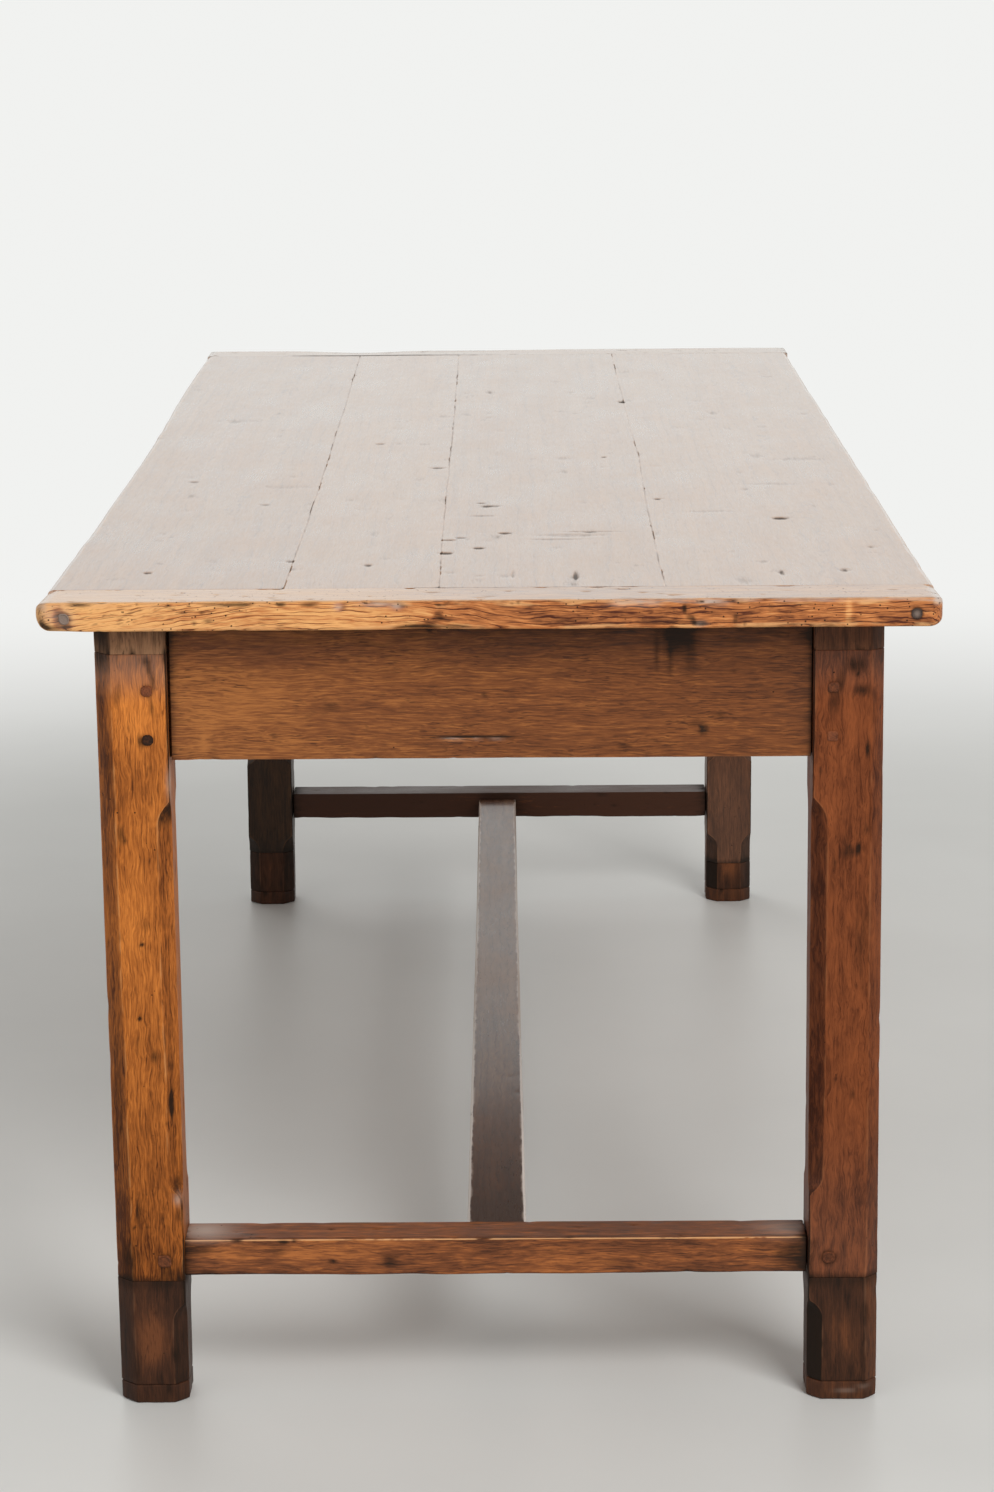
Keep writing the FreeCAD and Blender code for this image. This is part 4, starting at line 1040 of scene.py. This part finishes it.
class Leg:
    """A leg of four stacked pieces, with the pegs that hold the apron and stretcher tenons."""

    def __init__(self, end, side):
        self.name, self.side = f"{end}_{side}", side
        self.hand = list(SIDES).index(side)
        self.outermost = OUTERMOST[self.name]
        self.seed = 60 + 10 * self.outermost
        self.signs = np.array([SIDES[side], ENDS[end]])
        low, high = (corner[:Z] for corner in cad(f"leg_post_{self.name}"))
        self.outer, self.inner = np.where(self.signs < 0, (low, high), (high, low))

    def part(self, node, step, end_radius):
        """One of the stacked pieces, chamfered and weathered."""
        made = Timber(Z, *cad(f"{node}_{self.name}"), self.seed, step=step, across=3,
                      arrises=leg_arrises(self.outermost, *CHAMFERS[self.name], self.seed),
                      end_radius=end_radius, roundness=CHAMFER_ROUND)
        return made.weather(0.7, length=150, width=22).weather(0.25, length=30, width=9)

    def leaning(self, timber):
        """How far across each point stands from where the frame has it."""
        low, high = LEAN_HEIGHTS
        share = (timber.z - low) / (high - low)
        inward = np.clip((timber.x - self.outer[X]) / (self.inner[X] - self.outer[X]), 0, 1)
        foot_shift, top_shift = (outer + inward * (inner - outer) for outer, inner in LEANS[self.name])
        return foot_shift + share * (top_shift - foot_shift)

    def post(self):
        """The shaft, with its marks, painted shade on its chamfers, in its upper scoops and under the top,
        and darkening at its joints.
        """
        post = self.part("leg_post", step=3, end_radius=0.9)
        post.front_marks(LEG_MARKS.get(self.name, ()), self.outer[Y], LEG_MARK_REACH)
        post.bruise(70, size=2.4, depth=0.9, dark=0.7)
        # Painted shade on the chamfers.
        for corner, start, finish, dark, tone in POST_CHAMFER_SHADE.get(self.name, ()):
            post.dark += dark * post.on_arris(corner, start, finish)
            post.tone += tone * post.on_arris(corner, start, finish)
        post.shade_and_stain(POST_SHADE_AND_STAINS, self.hand)
        post.shade_and_stain(OUTER_CHAMFER_SHADE, self.hand, post.on_arris(self.outermost))
        for corner in {0, 1, 2, 3} - {self.outermost}:
            post.shade_and_stain(SCOOP_SHADE_AND_DIRT, self.hand, post.on_arris(corner))
        from_rails = post.x - self.inner[X]
        post.dark += 0.4 * eased(post.z, *APRON_SPAN) * fade(from_rails, 2)
        post.dark += 0.6 * fade(post.z - RAIL_HEIGHT, RAIL_REACH, 4) * fade(from_rails, 5)
        post.dark += 0.6 * fade(post.z - post.z.min(), 5, 2)
        return post

    def peg(self, post, axis, height, dark, seed, offset, radius, length, hollow, worn):
        """A peg in an outer face of the post, with a dirty hollow round it."""
        other = Y if axis == X else X
        face = np.array([*self.outer, height])
        face[other] = self.inner[other] + self.signs[other] * offset
        post.mark(face, (PEG_HOLLOW_SHARE * radius,) * 3, hollow, dark, hard=2)
        made = peg(axis, face, radius, -self.signs[axis], length, PEG_PROUD, self.seed + seed)
        made.worn *= worn
        return made

    def pegs(self, post):
        """Two pegs in each outer face for the aprons, and one in the end face for the stretcher."""
        apron_pegs = []
        for height in APRON_PEG_HEIGHTS:
            for axis in (Y, X):
                made = self.peg(post, axis, height, PEG_DIRT[self.hand], len(apron_pegs), **APRON_PEG)
                apron_pegs.append(made)
        middle = (STRETCHER_LOW[Z] + STRETCHER_HIGH[Z]) / 2
        stretcher_peg = self.peg(post, Y, middle, 0.8, 9, **STRETCHER_PEG)
        lower_peg, upper_peg = apron_pegs[0], apron_pegs[2]
        if self.name == "near_left":
            lower_peg.dark += 0.75
            upper_peg.tone += 0.2
            stretcher_peg.tone += 0.9
            stretcher_peg.dark += 0.45
        else:
            upper_peg.dark += 0.35
            stretcher_peg.dark += 0.35
        return apron_pegs, stretcher_peg

    def block(self):
        """The block on the post, with painted shade under the top and on its outermost chamfer."""
        block = self.part("leg_top_block", step=3, end_radius=0.7)
        block.worn *= 0.3
        block.bruise(40, size=2.0, depth=0.4, dark=0.8)
        block.shade_and_stain(BLOCK_SHADE, self.hand)
        block.shade_and_stain(OUTER_CHAMFER_SHADE, self.hand, block.on_arris(self.outermost))
        block.tone += BLOCK_CHAMFER_SHADE[self.hand] * block.on_arris(self.outermost)
        return block

    def foot(self):
        """The spliced foot: dark, with a lighter, warmer middle, darker chamfers and a lighter outermost
        chamfer on the right.
        """
        foot = self.part("foot_block", step=3, end_radius=1.2).bruise(40, size=3, depth=0.8, dark=0.5)
        foot.dark += 0.45 * fade(foot.z - FOOT_STAIN_HEIGHT, FOOT_STAIN_REACH, 2)
        from_middle = foot.x - (self.outer[X] + self.inner[X]) / 2
        glow = fade(from_middle, GLOW_WIDTH, 2) * fade(foot.z - GLOW_HEIGHT, GLOW_TALL, 2)
        foot.tone += FOOT_TONE + FOOT_GLOW[self.name] * glow
        for corner in range(4):
            lightened = corner in (self.outermost, LIGHTENED_FOOT_CORNERS.get(self.name))
            dark = LIGHTENED_CHAMFER_DARK if lightened else FOOT_CHAMFER_DARK[self.hand]
            foot.dark += dark * foot.on_arris(corner)
        foot.tone += FOOT_CHAMFER_TONE[self.hand] * foot.on_arris(self.outermost)
        return foot

    def pad(self):
        """The thin pad under the foot."""
        pad = self.part("foot_pad", step=2, end_radius=2.0).bruise(30, size=3, depth=0.8, dark=0.5)
        pad.worn *= 0.4
        pad.tone += PAD_TONE[self.hand]
        return pad

    def build(self):
        """Make the pieces of the leg, and give the peg that goes with those of the other stretcher ends."""
        name = self.name
        post = self.post()
        apron_pegs, stretcher_peg = self.pegs(post)
        block, foot, pad = self.block(), self.foot(), self.pad()
        for timber in (post, pad):
            for pale_patch in LEG_PALE_PATCHES.get(name, ()):
                timber.pale_patch(*pale_patch)
        for timber in (post, block, foot, pad, stretcher_peg, *apron_pegs):
            timber.lean(self.leaning)
        piece(f"leg_post_{name}", [post], LEG_WOODS[name])
        piece(f"leg_top_block_{name}", [block], BLOCK_WOODS[self.side])
        piece(f"foot_block_{name}", [foot], FOOT_WOOD)
        piece(f"foot_pad_{name}", [pad], FOOT_WOOD)
        piece(f"apron_pegs_{name}", apron_pegs, RED_PEG_WOOD)
        return stretcher_peg


# Aprons and glue blocks

# Marks on the near apron, as front_marks has them
APRON_MARKS = (
    (-24, 626.5, 24, 1.3, 1.2, 1.3),
    (10, 626.5, 13, 1.1, 0.8, 1),
    (-26, 624.6, 14, 0.8, 0, -0.3, 1),
    (163, 718, 9, 16, 0.3, 0.9, -0.3),
    (176, 708, 6, 22, 0.2, 0.5, -0.2),
    (158, 696, 3, 18, 0.2, 0.45),
    (146, 700, 2.5, 16, 0.3, 0.5),
    (188, 632, 3.5, 5, 0.8, 1.2),
    (180, 638, 5, 4, 0.5, 0.5),
    (-229, 687, 1.4, 7, 0.5, 0.9),
    (-142, 655, 9, 5, 0.2, 0.4),
    (-110, 636, 2, 2, 0.6, 0.8),
    (-255, 624, 4, 9, 0, 0, 0.9),
    (-200, 660, 70, 26, 0, 0, 0.1),
)
# Pale filler in the split of the near apron: across, height, width, tallness, paleness
APRON_FILLER = ((-34, 625.4, 9, 0.7, 0.5), (-14, 625.6, 4, 0.6, 0.4), (4, 625.6, 6, 0.6, 0.35))
SPLIT_HEIGHT, SPLIT_REACH = 626.5, 2.0
# How much shorter a rail is than the space between the legs, at its start and its end
APRON_TRIMS = {"near": (0.6, 1.0), "far": (-3.0, 0.0), "left": (0.0, 0.0), "right": (0.0, 0.0)}
STRETCHER_TRIMS = {"near": (0.0, 0.0), "far": (-3.0, 0.0)}
APRON_SEEDS = {"near": 110, "far": 111, "left": 112, "right": 113}


def leg_faces(axis):
    """Where the space between the legs starts and ends along an axis."""
    return cad("leg_post_near_left")[1][axis], cad("leg_post_far_right")[0][axis]


def between_legs(node, axis, trims):
    """The lowest and highest corners of a rail between its shoulders."""
    low, high = cad(node)
    start, end = leg_faces(axis)
    low[axis], high[axis] = start + SHOULDER_GAP + trims[0], end - SHOULDER_GAP - trims[1]
    return low, high


def tenon(low, high, axis, thickness, inset):
    """A tenon for each end of a rail: in the middle of its thickness, and inset from its two edges."""
    middle = (low + high)[1 - axis] / 2
    thick = (middle - thickness / 2, middle + thickness / 2)
    tall = (low[Z] + inset, high[Z] - inset)
    return TENON_LENGTH, (*thick, *tall) if axis == X else (*tall, *thick)


def apron(name, axis):
    """An apron board: a tenon into each leg, a small dark gap at its shoulders, and painted shade under the
    top.
    """
    low, high = between_legs(f"apron_{name}", axis, APRON_TRIMS[name])
    seed = APRON_SEEDS[name]
    is_near = name == "near"
    split = (high[Z] - crowd([SPLIT_HEIGHT], [SPLIT_REACH])) / (high[Z] - low[Z])

    def arrises(along):
        return np.column_stack([1.1 + 0.6 * ripple(along, 40, seed + corner) for corner in range(4)])

    board = Timber(axis, low, high, seed, step=4 if is_near else 7, across=4, arrises=arrises,
                   end_radius=0.8, tenon=tenon(low, high, axis, thickness=10, inset=1.5),
                   finer={3: split} if is_near else None)
    board.weather(0.6, length=180, width=26)
    if is_near:
        board.front_marks(APRON_MARKS, low[Y], MARK_REACH)
        for x, z, width, height, pale in APRON_FILLER:
            board.pale_patch((x, low[Y], z), (width, MARK_REACH, height), pale)
        board.tone -= 0.4 * board.x / high[X]
    # Painted shade: the top of the apron is darkened where the overhanging top shades it.
    board.dark += 0.95 * fade(UNDERSIDE - board.z, 16)
    for shoulder in (low[axis], high[axis]):
        board.dark += 0.6 * fade(board.places[:, axis] - shoulder, 5)
    board.bruise(70, size=2.6, depth=0.7, dark=0.6)
    piece(f"apron_{name}", [board], APRON_WOOD)


GLUE_LENGTH, GLUE_CHAMFER, GLUE_ARRIS = 70, 10, 1.0
GLUE_SHARES = {X: (-0.25, 0.25), Y: (-0.3, 0, 0.3)}
FREE_CORNERS = {"near": 1, "far": 0, "left": 3, "right": 0}


def glue_blocks(name, axis):
    """Rough blocks in the corner between an apron and the top."""
    low, high = cad(f"glue_blocks_{name}")
    start, end = leg_faces(axis)
    arrises = [GLUE_CHAMFER if corner == FREE_CORNERS[name] else GLUE_ARRIS for corner in range(4)]
    blocks = []
    for share in GLUE_SHARES[axis]:
        middle = share * (end - start)
        low[axis], high[axis] = middle - GLUE_LENGTH / 2, middle + GLUE_LENGTH / 2
        seed = 130 + 10 * len(blocks) + (1 if axis == X else 2)
        block = Timber(axis, low, high, seed, step=5, across=4, arrises=arrises, end_radius=1.2,
                       roundness=0.2)
        block.weather(0.6, length=30, width=8).bruise(12, size=3, depth=0.8, dark=0.3)
        blocks.append(block)
    piece(f"glue_blocks_{name}", blocks, INNER_WOOD)


# Stretchers

# Marks on the front of the near stretcher, as front_marks has them
STRETCHER_MARKS = (
    (-194, 153, 5, 2, 0.8, 1),
    (-149, 134, 4, 2, 0.8, 1),
    (-97, 134, 8, 6, 0.8, 0.7),
    (-200, 144, 8, 6, 0.4, 0.4),
    (-268, 147, 14, 6, 0.4, 0.5),
    (-245, 140, 18, 5, 0, 0, 0.7),
    (-180, 140, 22, 6, 0, 0, 0.6),
    (-28, 131, 3, 3, 0.8, 0.3, 0.6),
    (105, 132, 30, 6, 0.3, 0.3),
    (270, 138, 18, 16, 0, 0.6),
    (-150, 150, 1.5, 6, 0.4, 0.5, 0.4),
)
# Pale places at the ends of its upper face: darkness and paleness at the left, then at the right
SHOULDER_RUBS = ((-0.8, 0.9), (-0.4, 0.4))
RUB_INSET, RUB_BACK, RUB_SIZE = 14, 26, (26, 22, 4)
# Painted shade: the far rail is darkened for the shade under the table.
FAR_STRETCHER_SHADE = -1.2


def end_stretcher(name):
    """The rail between two legs: a worn upper arris outside, painted as a bright highlight, and a hewn,
    uneven lower edge.
    """
    low, high = between_legs(f"stretcher_{name}", X, STRETCHER_TRIMS[name])
    is_near = name == "near"
    seed = 150 if is_near else 151

    def reshape(along, planes):
        hollow = 0.5 + 0.7 * ripple(along, 90, seed) + 0.5 * ripple(along, 26, seed + 1)
        planes[:, 2] += np.maximum(hollow, 0)

    def arrises(along):
        upper = 1.2 + 0.4 * ripple(along, 45, seed + 3)
        lower = 1.7 + 0.9 * ripple(along, 38, seed + 4)
        return np.column_stack([lower, lower, upper, upper])

    rail = Timber(X, low, high, seed, step=3, across=3, arrises=arrises, end_radius=0.9, reshape=reshape,
                  tenon=tenon(low, high, X, thickness=14, inset=4))
    rail.weather(0.35, length=110, width=16)
    rail.worn *= 0.25
    if is_near:
        # Painted highlight: the near rail's upper outer arris is made much paler than wear alone would make
        # it.
        rail.worn += 2.6 * rail.on_arris(3)
        rail.dark += 0.5 * rail.on_arris(0)
        behind_arris = fade(rail.y - low[Y] - 4, 2, 2) * eased(rail.z, high[Z] - 3, high[Z] - 1)
        rail.dark += 0.4 * behind_arris * (rail.facet < 0)
        for x, (dark, pale) in zip((low[X] + RUB_INSET, high[X] - RUB_INSET), SHOULDER_RUBS):
            rail.mark((x, low[Y] + RUB_BACK, high[Z]), RUB_SIZE, dark=dark, pale=pale)
        rail.front_marks(STRETCHER_MARKS, low[Y], MARK_REACH)
    else:
        # Painted shade under the table.
        rail.tone += FAR_STRETCHER_SHADE
    for shoulder in (low[X], high[X]):
        rail.dark += 0.7 * fade(rail.x - shoulder, 9)
    inner = high[Y] if is_near else low[Y]
    rail.dark += 0.5 * fade(rail.x, 34, 4) * fade(rail.y - inner, 6)
    rail.bruise(60, size=2.4, depth=0.8, dark=0.7)
    piece(f"stretcher_{name}", [rail], STRETCHER_WOOD)


CENTRE_SHIFTS = (1.0, -4.5)
CENTRE_FLARE, CENTRE_FLARE_END = 2.2, 300
CENTRE_CHAMFER, CENTRE_STOP, CENTRE_SCOOP = 2.4, 14, 24
CENTRE_GAP = 0.4
# Painted shade and painted reflection along the centre rail: darker at its near end, paler in the middle.
CENTRE_SHADE_AND_REFLECTION = ((-400, 0), (-0.9, 0.15, 0.55, 0.05))


def centre_stretcher():
    """The long rail down the middle: chamfered upper arrises with a painted reflection, painted shade at
    its near end, a little askew.
    """
    low, high = cad("stretcher_centre")
    low[Y], high[Y] = STRETCHER_HIGH[Y] + CENTRE_GAP, -STRETCHER_HIGH[Y] - CENTRE_GAP
    seed = 160

    def arrises(along):
        stops = low[Y] + CENTRE_STOP, high[Y] - CENTRE_STOP
        chamfer = scooped(along, *stops, CENTRE_CHAMFER, CENTRE_SCOOP, CENTRE_SCOOP)
        left, right = (chamfer * (1 + 0.15 * ripple(along, 90, seed + corner)) for corner in (1, 2))
        low_left, low_right = (1.6 + 0.5 * ripple(along, 50, seed + shift) for shift in (0, 5))
        return np.column_stack([low_left, np.maximum(left, 1.2), np.maximum(right, 1.2), low_right])

    def reshape(along, planes):
        wider = np.interp(along, (low[Y], CENTRE_FLARE_END), (CENTRE_FLARE, 0))
        planes[:, 2] -= wider
        planes[:, 3] += wider

    def askew(timber):
        near_shift, far_shift = CENTRE_SHIFTS
        share = (timber.y - low[Y]) / (high[Y] - low[Y])
        return near_shift + share * (far_shift - near_shift)

    rail = Timber(Y, low, high, seed, step=5, across=3.5, arrises=arrises, end_radius=0.8,
                  roundness=(0.9, 0.15, 0.15, 0.9), reshape=reshape,
                  tenon=tenon(low, high, Y, thickness=34, inset=7))
    rail.weather(0.3, length=260, width=30).bruise(24, size=2.4, depth=0.4, dark=0.5)
    # Painted reflection: the chamfered upper arrises are made pale grey.
    rail.worn += 5 * rail.on_arris(1) + 9 * rail.on_arris(2)
    tone_places, tones = CENTRE_SHADE_AND_REFLECTION
    rail.tone += np.interp(rail.y, (low[Y], *tone_places, high[Y]), tones)
    for end in (low[Y], high[Y]):
        rail.dark += 0.5 * fade(rail.y - end, 12)
    rail.lean(askew)
    piece("stretcher_centre", [rail], CENTRE_WOOD)


# The object, piece by piece

for plank_number, plank_name in enumerate(PLANK_NAMES):
    top_plank(plank_number, plank_name)
for end_name in ENDS:
    cross_board(end_name)
stretcher_pegs = [Leg(end_name, side_name).build() for end_name in ENDS for side_name in SIDES]
piece("stretcher_pegs", stretcher_pegs, RED_PEG_WOOD)
for board_name, board_axis in (("near", X), ("far", X), ("left", Y), ("right", Y)):
    apron(board_name, board_axis)
    glue_blocks(board_name, board_axis)
for end_name in ENDS:
    end_stretcher(end_name)
centre_stretcher()

CARRIED_OVER = {
    "top_spline_left": HIDDEN_WOODS[Y],
    "top_spline_middle": HIDDEN_WOODS[Y],
    "top_spline_right": HIDDEN_WOODS[Y],
    "leg_top_dowels": HIDDEN_WOODS[Z],
    "foot_dowels": HIDDEN_WOODS[Z],
    "centre_stretcher_pegs": HIDDEN_WOODS[Z],
    "foot_pad_nails": NAIL_IRON,
}
for node_name, node_material in CARRIED_OVER.items():
    for material_slot in frame["nodes"][node_name].material_slots:
        material_slot.material = node_material


# Stage, lights and camera

BACKGROUND = (0.88, 0.885, 0.87, 1)
FLOOR_COLOUR, FLOOR_SHADE = (0.70, 0.70, 0.675, 1), 0.94
GLEAM = (0.96, 0.97, 0.95, 1)
AMBIENT_COLOUR, AMBIENT = (1, 0.985, 0.96, 1), 0.38
FLOOR_HALF, FLOOR_ROUGHNESS = 60.0, 0.42
FADE_START, FADE_END = 1.5, 3.4
LAMP_SIZE = 2.4


def floor():
    """A pale floor that fades to the background away from the table and keeps its shadow."""
    mesh = bpy.data.meshes.new("floor")
    corners = [(x * FLOOR_HALF, y * FLOOR_HALF, 0) for x, y in ((-1, -1), (1, -1), (1, 1), (-1, 1))]
    mesh.from_pydata(corners, [], [(0, 1, 2, 3)])
    made = new_object("floor", mesh)
    paint = Paint(bpy.data.materials.new("floor"))
    place = paint.add("TexCoord", {}, "Object")
    distance = paint.add("VectorMath", {0: place}, "Value", operation="LENGTH")
    far = paint.add("MapRange", {"Value": distance, "From Min": FADE_START, "From Max": FADE_END},
                    interpolation_type="SMOOTHSTEP")
    clouds = paint.add("TexNoise", {"Vector": place, "Scale": 2.5, "Detail": 5.0})
    shaded = (*(FLOOR_SHADE * part for part in FLOOR_COLOUR[:3]), 1)
    tint = paint.blend(paint.span(clouds, 0.3, 0.7), FLOOR_COLOUR, shaded)
    near_shader = paint.add("BsdfPrincipled", {"Base Color": tint, "Roughness": FLOOR_ROUGHNESS})
    far_shader = paint.add("Emission", {"Color": BACKGROUND, "Strength": 1.0})
    mixed = paint.add("MixShader", {0: far, 1: near_shader, 2: far_shader})
    mesh.materials.append(paint.finish(mixed))


def world():
    """Soft light all round; the camera sees the pale background, and reflections a paler one."""
    made = bpy.data.worlds.new("studio")
    bpy.context.scene.world = made
    paint = Paint(made)
    path = paint.add("LightPath", {}).node.outputs
    lighting = paint.add("Background", {"Color": AMBIENT_COLOUR, "Strength": AMBIENT})
    backdrop = paint.add("Background", {"Color": BACKGROUND})
    gleam = paint.add("Background", {"Color": GLEAM})
    seen = paint.add("MixShader", {0: path["Is Camera Ray"], 1: lighting, 2: backdrop})
    shown = paint.add("MixShader", {0: path["Is Glossy Ray"], 1: seen, 2: gleam})
    paint.add("OutputWorld", {"Surface": shown})


def lamp(name, place, aim, power, glare):
    """A large soft lamp aimed at a point, which may be left out of reflections."""
    light = bpy.data.lights.new(name, "AREA")
    light.shape, light.size, light.energy = "SQUARE", LAMP_SIZE, power
    made = new_object(name, light)
    made.location = place
    made.visible_glossy = glare
    made.rotation_euler = (Vector(aim) - Vector(place)).to_track_quat("-Z", "Y").to_euler()


CAMERA_PLACE = (0.0213, -4.0667, 1.3249)
CAMERA_PITCH, CAMERA_YAW, CAMERA_ROLL = (math.radians(angle) for angle in (12.61, -0.298, -0.434))
CAMERA_LENS, CAMERA_SENSOR = 88.05, 36
CAMERA_CLIP = (0.05, 200)


def camera():
    """The photograph's view: a long lens, a little above the top and near the middle line."""
    data = bpy.data.cameras.new("camera")
    data.lens, data.sensor_width = CAMERA_LENS, CAMERA_SENSOR
    data.clip_start, data.clip_end = CAMERA_CLIP
    made = new_object("camera", data)
    turn = (Matrix.Rotation(-CAMERA_YAW, 4, "Z") @ Matrix.Rotation(math.pi / 2 - CAMERA_PITCH, 4, "X")
            @ Matrix.Rotation(CAMERA_ROLL, 4, "Z"))
    made.matrix_world = Matrix.Translation(CAMERA_PLACE) @ turn
    bpy.context.scene.camera = made


floor()
world()
lamp("key", place=(2.2, -4.4, 3.4), aim=(0, -0.5, 0.5), power=215, glare=False)
lamp("fill", place=(-3.2, -3.0, 1.8), aim=(0, -0.3, 0.5), power=14, glare=True)
lamp("back", place=(-2.0, 4.4, 2.4), aim=(0, 0.6, 0.4), power=50, glare=False)
camera()
bpy.context.scene.view_settings.view_transform = "Standard"
